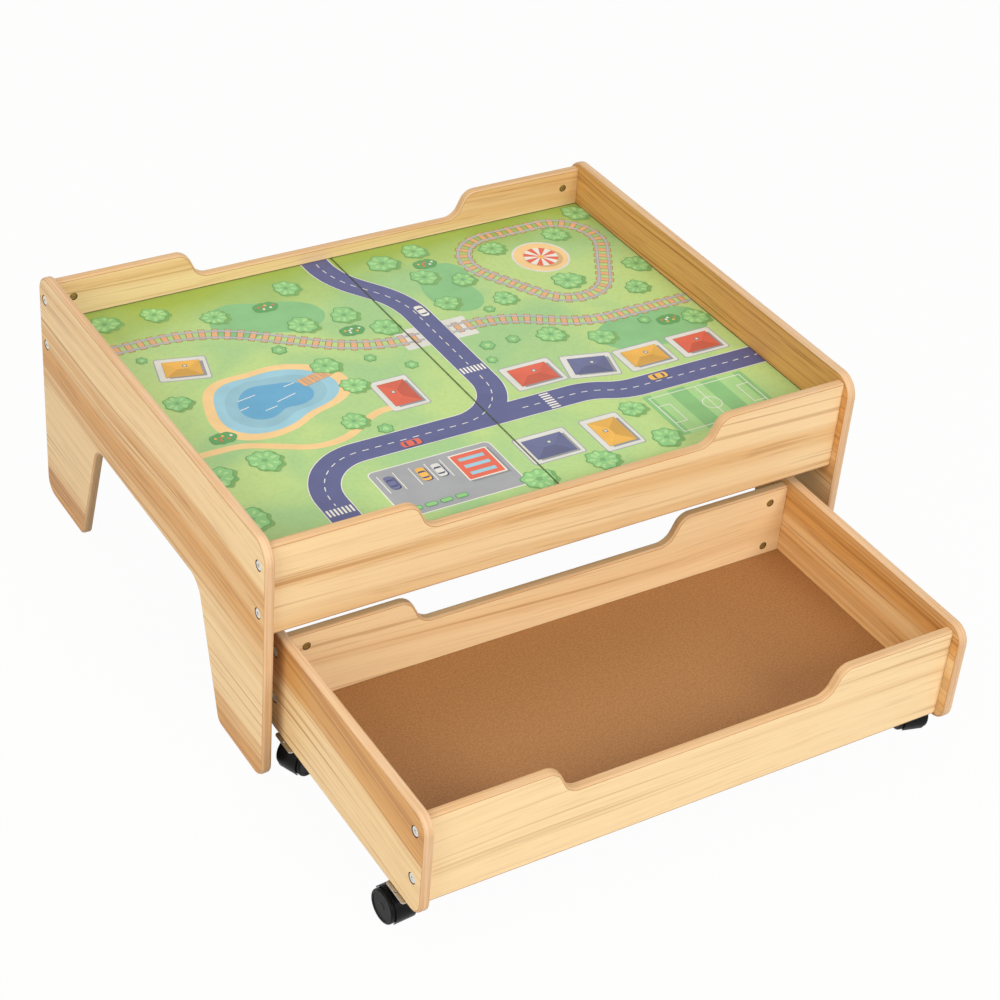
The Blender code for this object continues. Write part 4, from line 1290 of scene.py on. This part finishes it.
    def draw_pitch(self):
        """A ball pitch with mown stripes and white lines."""
        pitch, line = place_at(0.268, -0.210), self.inks.road_line
        wide, stripe_long = 0.092, 0.025
        add_tile(self.layer(self.PAD, "crown", 0.95), pitch, 0.150, wide, 0.003)
        for stripe in (-2, 0, 2):
            mown = beside(pitch, stripe * stripe_long, 0)
            add_tile(self.layer(self.PAVING, "crown_light"), mown, stripe_long, wide)
        marks = self.layer(self.LINE, "white")
        add_frame(marks, pitch, 0.138, 0.080, line)
        add_tile(marks, pitch, line, 0.076)
        add_ring(self.layer(self.LINE + self.HALF_UP, "white"), pitch, 0.013, line)
        for end in (-1, 1):
            goal = beside(pitch, end * 0.0595, 0)
            add_frame(self.layer(self.LINE + self.HALF_UP, "white"), goal, 0.0185, 0.040, line)

    def draw_yard(self):
        """A paved yard with parking bays, hedges, cars and a flat-roofed hall."""
        yard, line = place_at(-0.112, -0.214), self.inks.road_line
        bays, bay_wide, bay_long, bay_y = 5, 0.021, 0.036, 0.020
        add_tile(self.layer(self.PATCH, "white"), yard, 0.166, 0.098, 0.008)
        add_tile(self.layer(self.PAD, "paving"), yard, 0.163, 0.095, 0.007)
        for bay in range(bays):
            pose = beside(yard, -0.074 + bay * bay_wide, bay_y)
            add_tile(self.layer(self.PAVING, "white"), pose, line, bay_long)
        for bay, ink in ((0, "roof_blue"), (2, "roof_gold"), (3, "slab")):
            parked = beside(yard, -0.0635 + bay * bay_wide, bay_y)
            self.draw_car(parked @ Matrix.Rotation(math.pi / 2, 4, "Z"), ink)
        hall, hall_long, hall_wide, wall = beside(yard, 0.047, 0.012), 0.052, 0.054, 0.002
        add_tile(self.layer(self.SHADE, "paving", 0.7), shadow_of(hall, 0.003), hall_long, hall_wide)
        add_tile(self.layer(self.ROOF_EDGE, "white"), hall, hall_long, hall_wide, 0.001)
        add_tile(self.layer(self.ROOF, "roof_red"), hall, hall_long - 2 * wall, hall_wide - 2 * wall)
        for light in (-1, 0, 1):
            pose = beside(hall, 0, light * 0.0145)
            add_tile(self.layer(self.ROOF_MARK, "water"), pose, 0.034, 0.0062, 0.0006)
        for place in range(4):
            self.draw_hedge(beside(yard, -0.062 + place * 0.020, -0.036), 0.016, 0.0085)

    def draw_hedge(self, pose, long, wide):
        trim = 0.0024
        add_tile(self.layer(self.CROWN_EDGE, "crown_dark"), pose, long, wide, 0.003)
        add_tile(self.layer(self.CROWN, "crown"), pose, long - trim, wide - trim, 0.002)

    def draw_car(self, pose, ink):
        """A small car from above: shadow, body, windows and roof."""
        long = 0.0265
        add_tile(self.layer(self.SHADE, "road", 0.45), shadow_of(pose, 0.0012), long, 0.0125, 0.0045)
        add_tile(self.layer(self.ROOF_EDGE, ink), pose, long, 0.0120, 0.0042)
        add_tile(self.layer(self.ROOF, "road", 0.6), beside(pose, -0.0010, 0), 0.0150, 0.0100, 0.0026)
        add_tile(self.layer(self.ROOF_MARK, ink), beside(pose, -0.0012, 0), 0.0088, 0.0096, 0.0016)

    def draw_houses(self):
        """Hip-roofed houses along the side street and by the pond."""
        houses = (
            (0.098, -0.062, 0, 0.054, 0.038, "roof_red"), (0.175, -0.074, -14, 0.050, 0.036, "roof_blue"),
            (0.252, -0.084, 0, 0.052, 0.036, "roof_gold"), (0.332, -0.084, 0, 0.050, 0.036, "roof_red"),
            (0.032, -0.206, 0, 0.054, 0.040, "roof_blue"), (0.118, -0.212, 90, 0.052, 0.038, "roof_gold"),
            (-0.075, -0.030, 90, 0.050, 0.036, "roof_red"), (-0.292, 0.128, -14, 0.046, 0.034, "roof_gold"))
        for x, y, turn, long, wide, ink in houses:
            self.draw_house(place_at(x, y, turn), long, wide, ink)

    def draw_house(self, pose, long, wide, ink):
        """A pale plot, a shadow, and a hipped roof with light and dark slopes, tile rows and a chimney."""
        eaves, tile_rows = self.inks.outline, 5
        add_tile(self.layer(self.PATCH + self.HALF_UP, "paving"), pose, long + 0.020, wide + 0.018, 0.004)
        add_tile(self.layer(self.PAD, "slab"), pose, long + 0.017, wide + 0.015, 0.003)
        add_tile(self.layer(self.SHADE, "paving", 0.8), shadow_of(pose, self.SHADOW), long, wide)
        add_tile(self.layer(self.ROOF_EDGE, ink, 0.5), pose, long + eaves, wide + eaves)
        end, side = long / 2, wide / 2
        ridge = end - side
        slopes = ((1.0, [(-end, side), (-ridge, 0), (ridge, 0), (end, side)]),
                  (0.74, [(end, -side), (ridge, 0), (-ridge, 0), (-end, -side)]),
                  (0.86, [(end, side), (ridge, 0), (end, -side)]),
                  (0.92, [(-end, -side), (-ridge, 0), (-end, side)]))
        for tone, points in slopes:
            add_face(self.layer(self.ROOF, ink, tone), pose, points)
        for way, tone in ((1, 0.86), (-1, 0.62)):
            for row in range(1, tile_rows):
                down = side * row / tile_rows
                row_pose = beside(pose, 0, way * down)
                add_tile(self.layer(self.ROOF_MARK, ink, tone), row_pose, 2 * (ridge + down) - 0.002, 0.0007)
        chimney = beside(pose, ridge * 0.6, side * 0.35)
        add_tile(self.layer(self.CROWN_EDGE, "paving", 0.5), chimney, 0.0056, 0.0056)
        add_tile(self.layer(self.CROWN, "slab"), chimney, 0.0034, 0.0034)

    def draw_trees(self):
        """Trees and bushes in loose groups, and beds of flowers."""
        rng = random.Random(11)
        trees = [(-0.338, 0.262), (-0.272, 0.258), (-0.090, 0.250), (-0.205, 0.222), (-0.112, 0.160),
                 (-0.330, 0.060), (-0.352, -0.100), (-0.352, -0.190), (-0.052, 0.160), (-0.130, 0.062),
                 (-0.118, 0.008), (-0.155, -0.062), (-0.288, -0.092), (-0.018, 0.112), (0.056, 0.256),
                 (0.110, 0.268), (0.085, 0.132), (0.134, 0.176), (0.090, 0.202), (0.160, 0.112),
                 (0.372, 0.118), (0.338, 0.066), (0.372, 0.272), (0.168, 0.010), (0.226, -0.022),
                 (0.366, -0.030), (0.212, 0.232), (0.312, 0.232), (0.262, 0.118), (0.075, -0.258),
                 (0.168, -0.180), (0.172, -0.250), (-0.015, -0.260)]
        for x, y in trees:
            self.draw_tree(place_at(x, y, rng.uniform(0, 360)), rng.uniform(0.0155, 0.0205), rng)
        for x, y in ((-0.070, 0.055), (-0.030, 0.020), (-0.128, -0.092), (0.080, 0.020), (0.118, 0.020),
                     (0.300, -0.010), (-0.330, 0.165), (-0.165, 0.118), (0.128, 0.096), (0.068, -0.012)):
            self.draw_bush(place_at(x, y, rng.uniform(0, 360)), rng.uniform(0.007, 0.010), rng)
        for x, y in ((-0.135, 0.218), (0.330, -0.022), (0.108, 0.232), (-0.312, -0.030), (-0.060, 0.122)):
            self.draw_flowers(place_at(x, y), rng)

    def draw_joint_shade(self):
        """The dark edges of the two boards along their seam, with painted shade of the gap between them, and
        painted shade at the foot of the walls.
        """
        tray, foot = TRAY_HIGH - TRAY_LOW, self.inks.foot_width
        seam_middle = (sum(SEAM) - TRAY_LOW.x - TRAY_HIGH.x) / 2
        seam_width = SEAM[1] - SEAM[0] + 2 * self.inks.joint_width
        add_tile(self.layer(self.JOINT, "joint"), place_at(seam_middle, 0), seam_width, tray.y)
        for side in (-1, 1):
            at_panel = place_at(side * (tray.x - foot) / 2, 0)
            at_rail = place_at(0, side * (tray.y - foot) / 2)
            add_tile(self.layer(self.JOINT + self.HALF_UP, "joint"), at_panel, foot, tray.y)
            add_tile(self.layer(self.JOINT + 2 * self.HALF_UP, "joint"), at_rail, tray.x, foot)

    def draw_tree(self, pose, radius, rng):
        """A scalloped crown with an outline, a shadow, light tufts and a dark heart."""
        lobes = rng.choice((7, 8, 9))
        waves = [(lobes, 0.08, 0), (3, 0.06, rng.uniform(0, 360)), (2, 0.05, rng.uniform(0, 360))]
        add_blob(self.layer(self.SHADE, "shade"), shadow_of(pose, self.SHADOW), radius, waves)
        add_blob(self.layer(self.CROWN_EDGE, "crown_dark"), pose, radius, waves)
        add_blob(self.layer(self.CROWN, "crown"), pose, radius * 0.94, waves)
        for i in range(lobes):
            turn = Matrix.Rotation(math.tau * (i + rng.uniform(-0.2, 0.2)) / lobes, 4, "Z")
            tuft = beside(pose @ turn, radius * rng.uniform(0.58, 0.70), 0)
            size = radius * rng.uniform(0.13, 0.19)
            add_blob(self.layer(self.LEAF, "crown_light"), tuft, size, [(2, 0.35, 0)], steps=16)
        add_blob(self.layer(self.LEAF, "crown", 0.72), pose, radius * 0.20, [(5, 0.25, 0)], steps=20)

    def draw_bush(self, pose, radius, rng):
        """A low scalloped crown with an outline and one light tuft."""
        waves = [(6, 0.10, rng.uniform(0, 360))]
        add_blob(self.layer(self.CROWN_EDGE, "crown_dark"), pose, radius, waves, steps=48)
        add_blob(self.layer(self.CROWN, "crown", 0.92), pose, radius * 0.86, waves, steps=48)
        add_blob(self.layer(self.LEAF, "crown_light"), pose, radius * 0.36, [(3, 0.2, 0)], steps=16)

    def draw_flowers(self, pose, rng):
        """A small bed with dots of three colours."""
        waves = [(2, 0.22, 0), (7, 0.04, 0)]
        add_blob(self.layer(self.CROWN_EDGE, "crown_dark"), pose, 0.014, waves, steps=64)
        dots = [(-0.009, 0.002), (-0.004, -0.004), (0.001, 0.004), (0.006, -0.003), (0.011, 0.002),
                (-0.003, 0.001)]
        for x, y in dots:
            ink = rng.choice(("roof_red", "roof_gold", "white"))
            add_disc(self.layer(self.LEAF, ink), beside(pose, x, y), 0.0019, steps=12)


class TRAINTABLE_OT_stage(bpy.types.Operator):
    """Set the camera, the soft lamps, the white surround and the floor"""
    bl_idname = "train_table.stage"
    bl_label = "Stage"

    def execute(self, context):
        scene = context.scene
        stage = scene.train_table.stage
        scene.view_settings.view_transform = "Standard"
        camera = bpy.data.objects.new("camera", bpy.data.cameras.new("camera"))
        scene.collection.objects.link(camera)
        camera.location = stage.camera_place
        camera.rotation_euler = stage.camera_turn
        camera.data.sensor_width = SENSOR_WIDTH
        camera.data.lens = stage.lens
        camera.data.clip_end = 2 * stage.floor_size
        scene.camera = camera
        self.add_lamp("key", stage.white_light, stage)
        self.add_lamp("fill", stage.warm_light, stage)
        self.add_lamp("top", stage.white_light, stage)
        self.surround(scene, stage)
        self.floor(stage)
        return {"FINISHED"}

    @staticmethod
    def add_lamp(name, tint, stage):
        """A square lamp that faces the table, by its name in the stage's settings."""
        data = bpy.data.lights.new(f"{name}_lamp", "AREA")
        lamp = bpy.data.objects.new(data.name, data)
        bpy.context.scene.collection.objects.link(lamp)
        data.size = getattr(stage, f"{name}_size")
        data.energy = getattr(stage, name)
        data.color = tint
        lamp.location = getattr(stage, f"{name}_place")
        aim = Vector(stage.lamp_aim) - lamp.location
        lamp.rotation_euler = aim.to_track_quat("-Z", "Y").to_euler()

    @staticmethod
    def seen(tree):
        """One for camera, glossy and transmission rays, otherwise nothing."""
        rays = add_node(tree, "ShaderNodeLightPath").outputs
        total = rays["Is Camera Ray"]
        for name in ("Is Glossy Ray", "Is Transmission Ray"):
            either = add_node(tree, "ShaderNodeMath", {0: total, 1: rays[name]}, operation="MAXIMUM")
            total = either.outputs["Value"]
        return total

    def surround(self, scene, stage):
        """White where it is seen, and a softer light from all round."""
        world = bpy.data.worlds.new("white_surround")
        world.use_nodes = True
        scene.world = world
        tree = world.node_tree
        seen = self.seen(tree)
        strengths = {"Value": seen, "To Min": stage.ambient, "To Max": 1.0}
        strength = add_node(tree, "ShaderNodeMapRange", strengths)
        tints = {0: seen, 6: (*stage.warm_light, 1), 7: (1, 1, 1, 1)}
        tint = add_node(tree, "ShaderNodeMix", tints, data_type="RGBA")
        background = tree.nodes["Background"]
        tree.links.new(tint.outputs[2], background.inputs["Color"])
        tree.links.new(strength.outputs["Result"], background.inputs["Strength"])

    def floor(self, stage):
        """A wide pale floor that stays white to the camera and keeps a faint shadow."""
        shape = bmesh.new()
        bmesh.ops.create_grid(shape, x_segments=1, y_segments=1, size=stage.floor_size / 2)
        look = Look("pale_floor", roughness=0.9, gloss=0.0)
        look.shader.inputs["Base Color"].default_value = (*stage.floor, 1)
        share = look.math("MULTIPLY", self.seen(look.tree), stage.backdrop)
        glow = look.node("ShaderNodeEmission").outputs["Emission"]
        blend = look.node("ShaderNodeMixShader", {"Fac": share, 1: look.shader.outputs["BSDF"], 2: glow})
        look.tree.links.new(blend.outputs["Shader"], look.tree.nodes["Material Output"].inputs["Surface"])
        make_piece(shape, "floor", [look.material])


OPERATORS = (
    TRAINTABLE_OT_end_panels,
    TRAINTABLE_OT_rails,
    TRAINTABLE_OT_flat_boards,
    TRAINTABLE_OT_bolts,
    TRAINTABLE_OT_nuts,
    TRAINTABLE_OT_casters,
    TRAINTABLE_OT_play_map,
    TRAINTABLE_OT_stage,
)


class TRAINTABLE_PT_steps(bpy.types.Panel):
    """The steps that dress the table, and their settings"""
    bl_label = "Train table"
    bl_idname = "TRAINTABLE_PT_steps"
    bl_space_type = "VIEW_3D"
    bl_region_type = "UI"
    bl_category = "Train Table"

    def draw(self, context):
        for operator in OPERATORS:
            self.layout.operator(operator.bl_idname)
        for group in ("boards", "fasteners", "casters", "play_map", "stage"):
            box = self.layout.box()
            box.label(text=group.replace("_", " ").capitalize())
            settings = getattr(context.scene.train_table, group)
            for name in settings.__annotations__:
                box.prop(settings, name)


CLASSES = (BoardSettings, FastenerSettings, CasterSettings, MapSettings, StageSettings, TrainTableSettings,
           *OPERATORS, TRAINTABLE_PT_steps)


def register():
    for item in CLASSES:
        bpy.utils.register_class(item)
    bpy.types.Scene.train_table = PointerProperty(type=TrainTableSettings)


def unregister():
    del bpy.types.Scene.train_table
    for item in reversed(CLASSES):
        bpy.utils.unregister_class(item)


def main():
    register()
    bpy.ops.train_table.end_panels()
    bpy.ops.train_table.rails()
    bpy.ops.train_table.flat_boards()
    bpy.ops.train_table.bolts()
    bpy.ops.train_table.nuts()
    bpy.ops.train_table.casters()
    bpy.ops.train_table.play_map()
    bpy.ops.train_table.stage()


if __name__ == "__main__":
    main()
